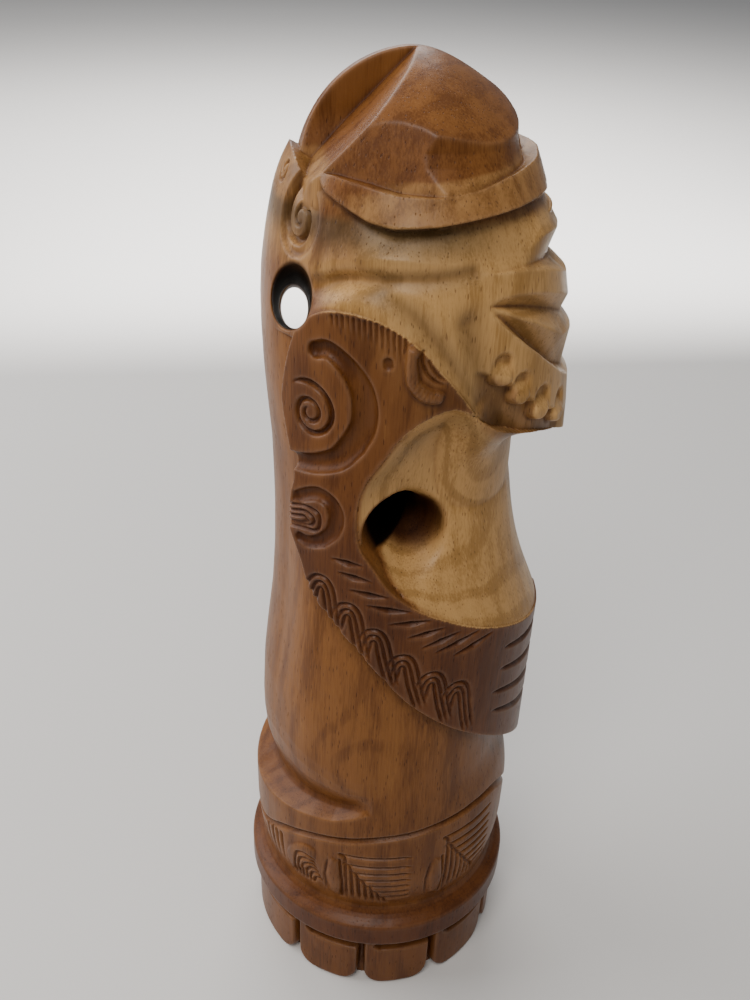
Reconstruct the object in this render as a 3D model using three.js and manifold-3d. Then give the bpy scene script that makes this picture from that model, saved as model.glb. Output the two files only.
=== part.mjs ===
// A free-standing tiki figure carved from one round billet of hardwood, 390 mm tall on a 120 mm log.
// Millimetres, +Z up, origin at the centre of the underside. The figure faces -Y and its right hand is at -X.
// The billet is divided along its own carved creases into zones, and each zone is one mesh. Neighbouring
// zones keep SEAM between them. Angles round the log run from 0 at the front to 90 at a hand's side and
// 180 at the back, and both sides mirror each other in the plane x = 0.
import * as THREE from "three";
import { mergeVertices } from "three/addons/utils/BufferGeometryUtils.js";
import Module from "manifold-3d";

const wasm = await Module();
wasm.setup();

// ---- Driving dimensions ----
const SEAM = 0.3; // between neighbouring zones
const LOG_R = 60; // the billet, left whole at the hands, the jaw and the foot flange
const TOTAL_H = 390;
const LATHE_SEGMENTS = 40;
const BAR_SEGMENTS = 28;
const MERGE_WITHIN = 1e-4; // vertices closer than this are one
const FAR = 100; // beyond the figure on every side

const TOE = { r: 57, top: 29, footInset: 1.5, slotWidth: 3, slotFloorR: 51 };
const TOE_SLOTS = [0, 35, 71, 105, 138, 180]; // degrees round from the front
const FLANGE = { under: 32, top: 43.5, neckZ: 48 };
const COLLAR = { footR: 53, bendR: 54.5, bendZ: 56, r: 57, flareZ: 72, top: 100 };
const LEDGE = { backZ: 92, frontY: 33 }; // the collar's top falls from this depth to the back

// The trunk between the collar and the chest, as [z, radius] at the back and round the front.
const BELLY = { top: 190, rings: 9, backFrom: 95, backTo: 140 };
const BELLY_BACK = [[92, 46], [99, 47.5], [112, 51.5], [130, 53], [152, 52.3], [168, 50.8], [190, 48.4]];
const CORE_R = 49; // the trunk under the arms
const BELLY_FRONT = [[92, 57], [100, 56], [112, 53], [122, 51], [150, 50], [190, CORE_R]];

// Lower and upper edges of an arm, as [angle, z] from the front to the elbow and on round the shoulder.
const ARM = { gap: 0.9, spans: [3, 33, 1], shoulderInset: 4, shoulderFrom: 255, shoulderTo: 316 };
const ARM_LOWER = [[4, 118], [20, 122], [58, 146], [93, 175], [125, 214], [134, 240]];
const ARM_UPPER = [[4, 187], [20, 189], [50, 197], [79, 210], [100, 224], [111, 241]];
const SHOULDER_BACK = [
  ...[[134, 240], [142, 258], [147, 280], [145, 300]],
  ...[[137, 316], [116, 323], [96, 316], [80, 300]],
];
const SHOULDER_FRONT = [
  ...[[111, 241], [112, 252], [111, 259], [109, 265]],
  ...[[106, 271], [100, 280], [93, 287], [82, 291]],
];

// The chest column: full under the shoulders, slimmer in front where it is scooped out.
const TORSO = { top: 262, rings: 7, shoulderFrom: 86, shoulderTo: 108 };
const CHEST_FRONT = [[190, 57], [204, 54], [215, 50], [228, 46.5], [241, 43.5], [TORSO.top, 41]];
const SCOOP = { depth: 6, degreesFrom: 30, degreesTo: 80, zFrom: 192, zTo: 215 };
const CHEST_HOLE = { y: 9.5, z: 245.5, r: 10.5 };

const SLAB = { innerR: 41, fromDegrees: 148, napeFrom: 144, top: 358, spans: [5, 8, 1] };
const SLAB_OUTER = [[190, 48.3], [208, 47.3], [240, 47.2], [270, 49], [300, 50.8], [322, 50.3], [346, 46.5]];
const NECK_HOLE = { frontY: 29, z: 320, halfHeight: 11 };

// Head outline at the front and at the cheek, as [z, radius] from the jaw's underside to the brow.
const HEAD = { floor: 262.3, top: 356, throatZ: [300, 322], cheekFrom: 50, cheekTo: 85 };
const FACE = [
  ...[[262, 60], [287, 58.6], [301, 57], [310, 54], [316, 55.2]],
  ...[[322, 53.5], [331, 46], [338, 48.7], [346, 45.5], [HEAD.top, 40]],
];
const CHEEK = [[262, 48], [300, 51], [320, 54], [335, 51.5], [346, 49], [HEAD.top, 45]];
const JAW_UNDER = { backY: -26, backZ: 281, slope: 0.467 };

// The open mouth, its lines running forward from its corner. The jaw and the tongue lie a little below them.
const MOUTH = { cornerY: -21.5, cornerZ: 321, lowerSlope: 0.9, upperSlope: 0.15 };
const JAW_DROP = 1.5;
const TONGUE_DROP = 1;
const TONGUE = { setBack: 2, topSlope: 0.42 };

const VISOR = {
  top: 358,
  bevelFrom: 350,
  bevel: 4,
  frontR: 44.5,
  sideR: 50.5,
  reach: 51,
  middle: 340,
  edge: [[0, 16], [50, 13], [75, 9], [100, 7], [120, 9], [136, 15], [180, 16]], // lower edge over the middle
};
const CROWN = { z: 352, r: 38, halfThickness: 2.75 };
const DOME = {
  profile: [
    ...[[0, 340], [40, 340], [40, 352], [38.5, 362], [35, 371.5]],
    ...[[28, 379], [20, 384.5], [10, 387.8], [0, 389]],
  ],
  scaleX: 1.12,
  scaleY: 0.92,
  backY: 24.5,
  backZ: 366.5,
  backSlope: -1.15,
};

const WOOD = { brown: 0x8a5a3a, sapwood: 0xb08850, dark: 0x6e4632 };

// ---- Helpers ----
const radians = (degrees) => (degrees * Math.PI) / 180;
const smooth = (from, to, value) => THREE.MathUtils.smoothstep(value, from, to);

// A value read off a list of [key, value] pairs with rising keys, straight between them.
function along(pairs, key) {
  if (key <= pairs[0][0]) return pairs[0][1];
  for (let i = 1; i < pairs.length; i++) {
    const [k0, v0] = pairs[i - 1];
    const [k1, v1] = pairs[i];
    if (key <= k1) return v0 + ((v1 - v0) * (key - k0)) / (k1 - k0);
  }
  return pairs[pairs.length - 1][1];
}

// Angle from the front, 0 to 180, the same on both sides.
const angleOf = (x, y) => THREE.MathUtils.radToDeg(Math.atan2(Math.abs(x), -y));

// The point at an angle round the log, on the right side (-X) for side = 1 and the left for side = -1.
const onLog = (degrees, r, z, side = 1) =>
  new THREE.Vector3(-side * r * Math.sin(radians(degrees)), -r * Math.cos(radians(degrees)), z);

function solidOf(geometry) {
  const bare = new THREE.BufferGeometry().setIndex(geometry.index);
  bare.setAttribute("position", geometry.getAttribute("position"));
  const merged = mergeVertices(bare, MERGE_WITHIN);
  return new wasm.Manifold(
    new wasm.Mesh({
      numProp: 3,
      vertProperties: merged.attributes.position.array,
      triVerts: new Uint32Array(merged.index.array),
    }),
  );
}

function geometryOf(solid) {
  const m = solid.getMesh();
  const geometry = new THREE.BufferGeometry();
  const positions = new Float32Array(m.numVert * 3);
  for (let i = 0; i < m.numVert; i++) {
    positions.set(m.vertProperties.subarray(i * m.numProp, i * m.numProp + 3), i * 3);
  }
  geometry.setAttribute("position", new THREE.BufferAttribute(positions, 3));
  geometry.setIndex(new THREE.BufferAttribute(m.triVerts, 1));
  geometry.computeVertexNormals();
  return geometry;
}

// A turned solid with the given heights, whose radius at each point is radiusAt(angle, z). The rim of
// its top can be lifted by topLift(angle).
function turned(heights, radiusAt, topLift = () => 0) {
  const first = heights[0];
  const last = heights[heights.length - 1];
  const profile = [new THREE.Vector2(0, first)];
  heights.forEach((z) => profile.push(new THREE.Vector2(1, z)));
  profile.push(new THREE.Vector2(0, last));
  const geometry = new THREE.LatheGeometry(profile, LATHE_SEGMENTS);
  geometry.rotateX(Math.PI / 2);
  const p = geometry.getAttribute("position");
  for (let i = 0; i < p.count; i++) {
    const [x, y, z] = [p.getX(i), p.getY(i), p.getZ(i)];
    if (Math.hypot(x, y) < 0.5) continue;
    const degrees = angleOf(x, y);
    const r = radiusAt(degrees, z);
    p.setXYZ(i, x * r, y * r, last - z < 0.01 ? z + topLift(degrees) : z);
  }
  return solidOf(geometry);
}

// A box given by its corners.
function block(low, high) {
  const geometry = new THREE.BoxGeometry(high[0] - low[0], high[1] - low[1], high[2] - low[2]);
  geometry.translate((low[0] + high[0]) / 2, (low[1] + high[1]) / 2, (low[2] + high[2]) / 2);
  return solidOf(geometry);
}

// Everything under the line z = z0 + slope * (y - y0), as a slab wide enough for the whole figure.
function under(y0, z0, slope) {
  const at = (y) => z0 + slope * (y - y0);
  const side = new THREE.Shape([
    new THREE.Vector2(-FAR, -FAR),
    new THREE.Vector2(FAR, -FAR),
    new THREE.Vector2(FAR, at(FAR)),
    new THREE.Vector2(-FAR, at(-FAR)),
  ]);
  const geometry = new THREE.ExtrudeGeometry(side, { depth: 2 * FAR, bevelEnabled: false });
  geometry.rotateX(Math.PI / 2).rotateZ(Math.PI / 2).translate(-FAR, 0, 0);
  return solidOf(geometry);
}

// A round bar along X.
function crossBar(y, z, r, length) {
  const geometry = new THREE.CylinderGeometry(r, r, length, BAR_SEGMENTS);
  geometry.rotateZ(Math.PI / 2).translate(0, y, z);
  return solidOf(geometry);
}

// A box warped into place: place(u, v, w) with each of them from 0 to 1.
function warped(steps, place) {
  const geometry = new THREE.BoxGeometry(1, 1, 1, ...steps);
  const p = geometry.getAttribute("position");
  for (let i = 0; i < p.count; i++) {
    const q = place(p.getX(i) + 0.5, p.getY(i) + 0.5, p.getZ(i) + 0.5);
    p.setXYZ(i, q.x, q.y, q.z);
  }
  return solidOf(geometry);
}

const steps = (from, to, count) =>
  Array.from({ length: count + 1 }, (_, i) => from + ((to - from) * i) / count);

// ---- Zones ----

// Ten toe blocks in a ring under a projecting flange.
function footRing() {
  const profile = [
    [0, 0],
    [TOE.r - TOE.footInset, 0],
    [TOE.r, TOE.footInset],
    [TOE.r, TOE.top - 1],
    [TOE.r - 1, TOE.top + 1],
    [LOG_R, FLANGE.under],
    [LOG_R, FLANGE.top],
    [COLLAR.footR + 1, FLANGE.neckZ - 1],
    [COLLAR.footR, FLANGE.neckZ],
    [0, FLANGE.neckZ],
  ].map(([r, z]) => new THREE.Vector2(r, z));
  const geometry = new THREE.LatheGeometry(profile, LATHE_SEGMENTS);
  geometry.rotateX(Math.PI / 2);
  let ring = solidOf(geometry);
  for (const degrees of TOE_SLOTS) {
    for (const side of degrees % 180 ? [1, -1] : [1]) {
      const slot = new THREE.BoxGeometry(TOE.slotWidth, LOG_R - TOE.slotFloorR, TOE.top + 1);
      slot.translate(0, -(TOE.slotFloorR + LOG_R) / 2, (TOE.top - 1) / 2);
      slot.rotateZ(radians(-degrees * side));
      ring = ring.subtract(solidOf(slot));
    }
  }
  return ring;
}

// The collar's top, a level seam at the front and a ledge that falls towards the back.
const ledgeSlope = (LEDGE.backZ - COLLAR.top) / (COLLAR.r - LEDGE.frontY);
const collarTop = (lift) =>
  under(LEDGE.frontY, COLLAR.top + lift, ledgeSlope).intersect(
    block([-FAR, -FAR, -FAR], [FAR, FAR, COLLAR.top + lift]),
  );

function collarBand() {
  const profile = [[FLANGE.neckZ, COLLAR.footR], [COLLAR.bendZ, COLLAR.bendR], [COLLAR.flareZ, COLLAR.r]];
  const heights = [FLANGE.neckZ + SEAM, COLLAR.bendZ, COLLAR.flareZ, COLLAR.top + 1];
  return turned(heights, (degrees, z) => along(profile, z)).intersect(collarTop(0));
}

// The swollen trunk: slim at the back where the ledge shows, out to the collar at the sides and front.
function bellyRadius(degrees, z) {
  const toBack = smooth(BELLY.backFrom, BELLY.backTo, degrees);
  return THREE.MathUtils.lerp(along(BELLY_FRONT, z), along(BELLY_BACK, z), toBack);
}

const ARM_OUTER = [...ARM_LOWER, ...SHOULDER_BACK.slice(1)];
const ARM_INNER = [...ARM_UPPER, ...SHOULDER_FRONT.slice(1)];
const ARM_END_SPAN = 20; // about the length of a span at an arm's two ends
const MM_PER_DEGREE = radians(LOG_R);

// The point at a fraction of the way along an edge, each of its spans being the same share of it.
function station(edge, fraction) {
  const s = fraction * (edge.length - 1);
  const i = THREE.MathUtils.clamp(Math.floor(s), 0, edge.length - 2);
  return edge[i].map((value, k) => value + (edge[i + 1][k] - value) * (s - i));
}

// One arm: shoulder plate, elbow, forearm and hand, wrapped round the trunk at full log radius.
// With grow it is that much larger all round, as a tool that cuts the arm's bed.
function arm(side, grow = 0) {
  const beyond = grow / ARM_END_SPAN;
  return warped(ARM.spans, (across, length, out) => {
    const fraction = length * (1 + 2 * beyond) - beyond;
    const [a0, z0] = station(ARM_OUTER, fraction);
    const [a1, z1] = station(ARM_INNER, fraction);
    const widen = grow / Math.hypot((a1 - a0) * MM_PER_DEGREE, z1 - z0);
    const t = across * (1 + 2 * widen) - widen;
    const z = z0 + (z1 - z0) * t;
    const outside = side > 0 ? out > 0.5 : out < 0.5;
    const inset = ARM.shoulderInset * smooth(ARM.shoulderFrom, ARM.shoulderTo, z);
    const outR = LOG_R - inset + grow;
    return onLog(a0 + (a1 - a0) * t, outside ? outR : CORE_R + SEAM - grow, z, side);
  });
}

// The beds are larger than the arms by a gap that leaves at least SEAM at their bends.
const armBeds = arm(1, ARM.gap).add(arm(-1, ARM.gap));

function belly() {
  const heights = steps(LEDGE.backZ - 1, BELLY.top, BELLY.rings);
  return turned(heights, bellyRadius).subtract(collarTop(SEAM)).subtract(armBeds);
}

function columnOutline(degrees, z) {
  const round = smooth(SCOOP.degreesFrom, SCOOP.degreesTo, degrees) * smooth(SCOOP.zFrom, SCOOP.zTo, z);
  const scooped = along(CHEST_FRONT, z) - SCOOP.depth * round;
  const shoulder = smooth(TORSO.shoulderFrom, TORSO.shoulderTo, degrees);
  return nape(degrees, THREE.MathUtils.lerp(scooped, CORE_R - SEAM, shoulder));
}

function torso() {
  const heights = steps(BELLY.top + SEAM, TORSO.top, TORSO.rings);
  const hole = crossBar(CHEST_HOLE.y, CHEST_HOLE.z, CHEST_HOLE.r, 2 * FAR);
  return turned(heights, columnOutline).subtract(hole).subtract(armBeds);
}

// The upright slab down the back, free of the neck at the hole.
function backSlab() {
  const half = 180 - SLAB.fromDegrees;
  return warped(SLAB.spans, (across, up, out) => {
    const z = THREE.MathUtils.lerp(BELLY.top + SEAM, SLAB.top, up);
    const degrees = 180 + half * (2 * across - 1);
    const r = out > 0.5 ? SLAB.innerR : along(SLAB_OUTER, z);
    return onLog(degrees, r, z);
  }).intersect(underBrow(0));
}

const headHeights = [HEAD.floor, ...FACE.slice(1).map(([z]) => z)];
const nape = (degrees, r) => (degrees > SLAB.napeFrom ? Math.min(r, SLAB.innerR - SEAM) : r);

function headOutline(degrees, z) {
  const side = smooth(HEAD.cheekFrom, HEAD.cheekTo, degrees);
  return nape(degrees, THREE.MathUtils.lerp(along(FACE, z), along(CHEEK, z), side));
}

// The head as one mass: the skull and jaw over the throat, under the brow.
const mouthLower = (lift) => under(MOUTH.cornerY, MOUTH.cornerZ + lift, MOUTH.lowerSlope);
const mouthUpper = (lift) => under(MOUTH.cornerY, MOUTH.cornerZ + lift, MOUTH.upperSlope);
const beforeCorner = (gap) => block([-FAR, -FAR, BELLY.top], [FAR, MOUTH.cornerY - gap, VISOR.bevelFrom]);
const underBrow = (gap) =>
  turned([BELLY.top, VISOR.middle + gap], () => VISOR.reach, (degrees) => along(VISOR.edge, degrees));
const throat = turned([HEAD.floor, ...HEAD.throatZ], columnOutline);
const headMass = turned(headHeights, headOutline)
  .subtract(under(JAW_UNDER.backY, JAW_UNDER.backZ, JAW_UNDER.slope))
  .add(throat)
  .intersect(underBrow(0));

// The skull from the neck to the brow, with the mouth open in front.
function head() {
  const neckHole = block(
    [-FAR, NECK_HOLE.frontY, NECK_HOLE.z - NECK_HOLE.halfHeight],
    [FAR, FAR, NECK_HOLE.z + NECK_HOLE.halfHeight],
  );
  return headMass.subtract(beforeCorner(0).intersect(mouthUpper(0))).subtract(neckHole).subtract(armBeds);
}

// The jaw in front of the mouth's corner.
function jaw() {
  return headMass.intersect(beforeCorner(SEAM)).intersect(mouthLower(-JAW_DROP)).subtract(armBeds);
}

// The wedge of the tongue, set back from the lips.
function tongue() {
  return turned(headHeights, (degrees, z) => headOutline(degrees, z) - TONGUE.setBack)
    .intersect(beforeCorner(SEAM))
    .intersect(under(MOUTH.cornerY, MOUTH.cornerZ - TONGUE_DROP, TONGUE.topSlope))
    .subtract(mouthLower(-TONGUE_DROP));
}

// The heavy brow that runs round the head from ear to ear.
function visor() {
  function outline(degrees, z) {
    const r = THREE.MathUtils.lerp(VISOR.frontR, VISOR.sideR, Math.sin(radians(degrees)) ** 2);
    return r - VISOR.bevel * smooth(VISOR.bevelFrom, VISOR.top, z);
  }
  return turned([VISOR.middle - 1, VISOR.bevelFrom, VISOR.top], outline).subtract(underBrow(SEAM));
}

// The half-round crest in the middle plane, and a faceted dome on each side of it.
const aboveVisor = () => block([-FAR, -FAR, VISOR.top + SEAM], [FAR, FAR, TOTAL_H]);

function crest() {
  return crossBar(0, CROWN.z, CROWN.r, 2 * CROWN.halfThickness).intersect(aboveVisor());
}

function dome(side) {
  const profile = DOME.profile.map(([r, z]) => new THREE.Vector2(r, z));
  const geometry = new THREE.LatheGeometry(profile, LATHE_SEGMENTS);
  geometry.rotateX(Math.PI / 2).scale(DOME.scaleX, DOME.scaleY, 1);
  const inner = CROWN.halfThickness + SEAM;
  const half = side > 0 ? [-FAR, -inner] : [inner, FAR];
  return solidOf(geometry)
    .intersect(aboveVisor())
    .intersect(under(DOME.backY, DOME.backZ, DOME.backSlope))
    .intersect(block([half[0], -FAR, 0], [half[1], FAR, TOTAL_H]));
}

// ---- Assembly ----
const finish = (color) => new THREE.MeshStandardMaterial({ color, roughness: 0.42, metalness: 0 });
const brown = finish(WOOD.brown);
const sapwood = finish(WOOD.sapwood);
const dark = finish(WOOD.dark);

const figure = new THREE.Group();
const zones = [
  ["foot_ring", footRing(), brown],
  ["collar_band", collarBand(), brown],
  ["belly", belly(), brown],
  ["right_arm", arm(1), dark],
  ["left_arm", arm(-1), dark],
  ["torso", torso(), sapwood],
  ["back_slab", backSlab(), brown],
  ["head", head(), sapwood],
  ["jaw", jaw(), sapwood],
  ["tongue", tongue(), brown],
  ["visor", visor(), brown],
  ["crest", crest(), dark],
  ["right_dome", dome(1), brown],
  ["left_dome", dome(-1), brown],
];
for (const [name, solid, material] of zones) {
  const mesh = new THREE.Mesh(geometryOf(solid), material);
  mesh.name = name;
  figure.add(mesh);
}

export default figure;
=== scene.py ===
"""Looks for a tiki figure carved from one round hardwood log.

The figure is sculpted here as one solid, in millimetres, in the CAD frame: +Z up, the face towards -Y,
the right hand at -X. Most of it is a relief round the log: a radius for every angle and height, with
angles from 0 at the front through 90 at a hand's side to 180 at the back, alike on both sides. The crown,
the crest and the two pierced holes are solids of their own. The surface is meshed and divided into the
CAD's zones.
"""

import math

import bpy
import numpy as np
from mathutils import Matrix, Vector


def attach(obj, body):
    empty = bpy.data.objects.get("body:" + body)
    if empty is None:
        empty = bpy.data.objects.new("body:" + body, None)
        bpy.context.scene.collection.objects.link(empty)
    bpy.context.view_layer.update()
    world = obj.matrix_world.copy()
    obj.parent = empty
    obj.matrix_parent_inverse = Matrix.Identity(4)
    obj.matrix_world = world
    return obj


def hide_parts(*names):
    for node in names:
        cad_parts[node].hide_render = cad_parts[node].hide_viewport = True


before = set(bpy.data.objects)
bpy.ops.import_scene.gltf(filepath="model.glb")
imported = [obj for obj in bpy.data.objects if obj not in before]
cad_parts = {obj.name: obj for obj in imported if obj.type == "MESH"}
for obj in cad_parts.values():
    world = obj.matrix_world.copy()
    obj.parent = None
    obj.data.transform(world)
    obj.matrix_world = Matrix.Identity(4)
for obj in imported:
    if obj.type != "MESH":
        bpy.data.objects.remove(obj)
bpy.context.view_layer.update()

CELL = 0.5  # grid of the sculpt, mm
BLOCK = 16  # cells along a side of a block of that grid

# ------------------------------------------------------------------------------
# The relief: maps of radius over angle and height. One degree is one millimetre along the surface at
# r = 57.3, so the carved patterns are drawn onto the map with degrees and millimetres as equals.
# ------------------------------------------------------------------------------
STEP = 0.25
MAP_Z0, MAP_Z1 = -4.0, 372.0
ANGLES = np.arange(0, 180 + STEP / 2, STEP)
HEIGHTS = np.arange(MAP_Z0, MAP_Z1 + STEP / 2, STEP)
GA, GZ = np.meshgrid(ANGLES, HEIGHTS)
TINY = 1e-6


def ramp(low, high, value):
    """0 below low, 1 above high, smooth between."""
    t = np.clip((value - low) / (high - low), 0, 1)
    return t * t * (3 - 2 * t)


def mix(a, b, t):
    return a + (b - a) * t


def quarter_round(t):
    """Rises from 0 to 1 as a quarter of a circle does."""
    return np.sqrt(1 - (1 - t) ** 2)


def bell(distance, width):
    """1 at no distance, falling away on both sides."""
    return np.exp(-((distance / width) ** 2))


def table(points, key):
    """A value read off (key, value) points, straight between them."""
    keys, values = zip(*points)
    return np.interp(key, keys, values)


def blur(values, sigma, axis):
    """Smooths a map along one axis, with sigma in millimetres or degrees."""
    reach = int(math.ceil(3 * sigma / STEP))
    kernel = np.exp(-0.5 * (np.arange(-reach, reach + 1) * STEP / sigma) ** 2)
    kernel /= kernel.sum()
    padding = [(reach, reach) if i == axis else (0, 0) for i in range(values.ndim)]
    padded = np.pad(values, padding, mode="edge")
    return np.apply_along_axis(lambda line: np.convolve(line, kernel, "valid"), axis, padded)


def soften(values, sigma):
    """A map blurred along both of its axes."""
    return blur(blur(values, sigma, 0), sigma, 1)


def flowing(points, per_span):
    """A smooth curve through the points."""
    p = np.array(points, float)
    ends = np.vstack([2 * p[0] - p[1], p, 2 * p[-1] - p[-2]])
    out = []
    for i in range(1, len(ends) - 2):
        a, b, c, d = ends[i - 1 : i + 3]
        for t in np.arange(per_span) / per_span:
            square, cube = (2 * a - 5 * b + 4 * c - d) * t * t, (3 * b - a - 3 * c + d) * t**3
            out.append(0.5 * (2 * b + (c - a) * t + square + cube))
    out.append(p[-1])
    return np.array(out)


def window_of(points, margin):
    """The part of the map that holds the points, with a margin round them."""
    p = np.array(points, float)
    low, high = p.min(0) - margin, p.max(0) + margin
    columns = slice(max(0, int(low[0] / STEP)), max(1, int(high[0] / STEP) + 2))
    rows = slice(max(0, int((low[1] - MAP_Z0) / STEP)), max(1, int((high[1] - MAP_Z0) / STEP) + 2))
    return rows, columns


def along(path, reach):
    """The window of the map within reach of a path, and for each place in it the distance to the path and the
    share of the path's length that lies behind the nearest point."""
    path = np.array(path, float)
    window = window_of(path, reach)
    a, z = GA[window], GZ[window]
    distance = np.full(a.shape, np.inf)
    fraction = np.zeros(a.shape)
    lengths = np.hypot(*np.diff(path, axis=0).T)
    total = lengths.sum()
    done = 0.0
    for (p, q), length in zip(zip(path[:-1], path[1:]), lengths):
        if length < TINY:
            continue
        step = (q - p) / length
        t = np.clip((a - p[0]) * step[0] + (z - p[1]) * step[1], 0, length)
        d = np.hypot(a - p[0] - t * step[0], z - p[1] - t * step[1])
        closer = d < distance
        distance[closer] = d[closer]
        fraction[closer] = ((done + t) / total)[closer]
        done += length
    return window, distance, fraction


def distance_to_side(start, end, a, z):
    """The distance from places on the map to the straight line between two points."""
    (ax, az), (bx, bz) = start, end
    dx, dz = bx - ax, bz - az
    t = np.clip(((a - ax) * dx + (z - az) * dz) / (dx * dx + dz * dz + TINY**2), 0, 1)
    return np.hypot(a - ax - t * dx, z - az - t * dz)


def outline(points, a, z):
    """The distance to a closed outline, positive inside it and negative outside."""
    p = np.array(points, float)
    distance = np.full(a.shape, np.inf)
    inside = np.zeros(a.shape, bool)
    for (ax, az), (bx, bz) in zip(p, np.roll(p, -1, axis=0)):
        distance = np.minimum(distance, distance_to_side((ax, az), (bx, bz), a, z))
        crosses = (az > z) != (bz > z)
        with np.errstate(divide="ignore", invalid="ignore"):
            hit = a < (bx - ax) * (z - az) / (bz - az) + ax
        inside ^= crosses & hit
    return np.where(inside, distance, -distance)


class Relief:
    """A map that can be read at any angle and height. Angles past the front and back mirror."""

    def __init__(self, values):
        self.values = np.pad(values, ((0, 0), (2, 2)), mode="reflect").astype(np.float32)

    def __call__(self, u, v):
        i, j = v.astype(np.int32), u.astype(np.int32)
        fv, fu = (v - i).astype(np.float32), (u - j).astype(np.float32)
        m = self.values
        top = m[i, j] * (1 - fu) + m[i, j + 1] * fu
        bottom = m[i + 1, j] * (1 - fu) + m[i + 1, j + 1] * fu
        return top * (1 - fv) + bottom * fv


def map_place(a, z):
    """Where an angle and height lie on the maps, in map steps."""
    u = a / STEP + 2
    v = np.clip((z - MAP_Z0) / STEP, 0, len(HEIGHTS) - 1.001)
    return u, v


# ---- Carved lines ----
cuts = np.zeros(GA.shape)  # depth of the gouge and knife lines, mm
NARROWEST = 0.05  # half of the finest line, mm


def tapered(fraction, start, end, power):
    """1 along a path, falling to 0 over the start and end shares of its length."""
    size = np.ones(fraction.shape)
    for share, done in ((start, fraction), (end, 1 - fraction)):
        if share > 0:
            size = np.minimum(size, np.clip(done / share, 0, 1) ** power)
    return size


def spaced(values, fraction):
    """Values set evenly along a path, read at a share of its length."""
    return np.interp(fraction, np.linspace(0, 1, len(values)), values)


def gouge(path, width, depth, start=0.0, end=0.0, point=1.0):
    """A cut along a path. It narrows to a point over the start and end shares of its length. Width and depth
    may be several, set evenly along the path. With point 1 its section is a V, with 0 it is round."""
    widths, depths = np.atleast_1d(width), np.atleast_1d(depth)
    window, distance, fraction = along(path, max(widths))
    size = tapered(fraction, start, end, 0.7)
    t = distance / np.maximum(spaced(widths, fraction) / 2 * size, NARROWEST)
    sharp = np.clip(1 - t, 0, 1)
    full = np.sqrt(np.clip(1 - t * t, 0, 1))
    section = spaced(depths, fraction) * size * mix(full, sharp, point)
    cuts[window] = np.maximum(cuts[window], section)


raised = np.zeros(GA.shape)  # what stands out from the ground round it, mm


def bead(path, width, height, start=0.0, end=0.0):
    """A rounded rib along a path."""
    widths = np.atleast_1d(width)
    window, distance, fraction = along(path, max(widths))
    size = tapered(fraction, start, end, 0.6)
    t = distance / np.maximum(spaced(widths, fraction) / 2 * size, NARROWEST)
    raised[window] = np.maximum(raised[window], height * size * np.sqrt(np.clip(1 - t * t, 0, 1)))


def sunk(points, depth, slope):
    """Lowers the ground inside an outline, falling to its full depth over the slope's width."""
    window = window_of(points, 1)
    inside = outline(points, GA[window], GZ[window])
    raised[window] -= depth * ramp(0, slope, inside)


def pillow(points, height, shoulder):
    """Raises the ground inside an outline as a soft cushion."""
    window = window_of(points, 1)
    inside = outline(points, GA[window], GZ[window])
    rise = quarter_round(np.clip(inside / shoulder, 0, 1))
    raised[window] = np.maximum(raised[window], height * rise)


def volute(centre, first, last, turns, heading, way):
    """A spiral that opens from its centre, each turn wider than the one inside it. It starts at a heading,
    in degrees, and winds one way (1) or the other (-1)."""
    t = np.linspace(0, 1, int(turns * 32))
    angle = np.radians(heading) + way * 2 * math.pi * turns * t
    r = first * (last / first) ** t
    return np.column_stack([centre[0] + r * np.cos(angle), centre[1] + r * np.sin(angle)])


def curved(*points):
    """A smooth curve through the points, finely divided."""
    return flowing(points, 6)


# ------------------------------------------------------------------------------
# The trunk: toes, flange, collar, belly and back, with profiles given as (height, radius)
# ------------------------------------------------------------------------------
LOG_R = 60.0

COLLAR_SIDE = [(50, 53.6), (55, 54.6), (60, 55.8), (66, 56.6), (72, 57)]
FRONT = COLLAR_SIDE + [
    (92, 57), (96, 56.6), (101, 55.8), (107, 54.5),
    (112, 52.6), (118, 51), (130, 50), (190, 50), (250, 48), (372, 46),
]
SIDE = COLLAR_SIDE + [
    (100, 57), (110, 56.6), (125, 56), (140, 55.6),
    (160, 55), (190, 54.3), (240, 52), (300, 47), (372, 46),
]
REAR = COLLAR_SIDE + [
    (98, 56.8), (112, 55.7), (125, 55.4),
    (150, 55.2), (180, 54), (210, 52), (240, 50), (260, 49), (300, 48.5), (372, 46),
]
BACK = [
    (50, 53.6), (55, 54.4), (60, 55.6), (66, 56.4), (72, 56.8), (92, 57), (100, 56), (110, 54.8), (118, 53.8),
    (130, 53.2), (153, 52.3), (168, 50.8), (189, 48.4), (208, 47.3), (227, 47), (240, 47.2), (257, 47.7),
    (270, 48.9), (285, 50.1), (300, 50.8), (311, 50.9), (322, 50.4), (332, 49.1), (340, 47.7), (348, 46),
    (354, 44), (358, 42.1), (361, 40.3), (372, 36),
]
SECTIONS = [(20, FRONT), (90, SIDE), (130, REAR), (160, BACK)]


def trunk_radius():
    """The trunk's radius over the map, blended between the four profiles."""
    columns = [np.interp(HEIGHTS, *zip(*profile)) for _, profile in SECTIONS]
    radius = np.repeat(columns[0][:, None], len(ANGLES), axis=1)
    for i in range(1, len(SECTIONS)):
        share = ramp(SECTIONS[i - 1][0], SECTIONS[i][0], ANGLES)[None, :]
        radius = mix(radius, columns[i][:, None], share)
    return blur(radius, 2.0, 0)


trunk = trunk_radius()

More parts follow.
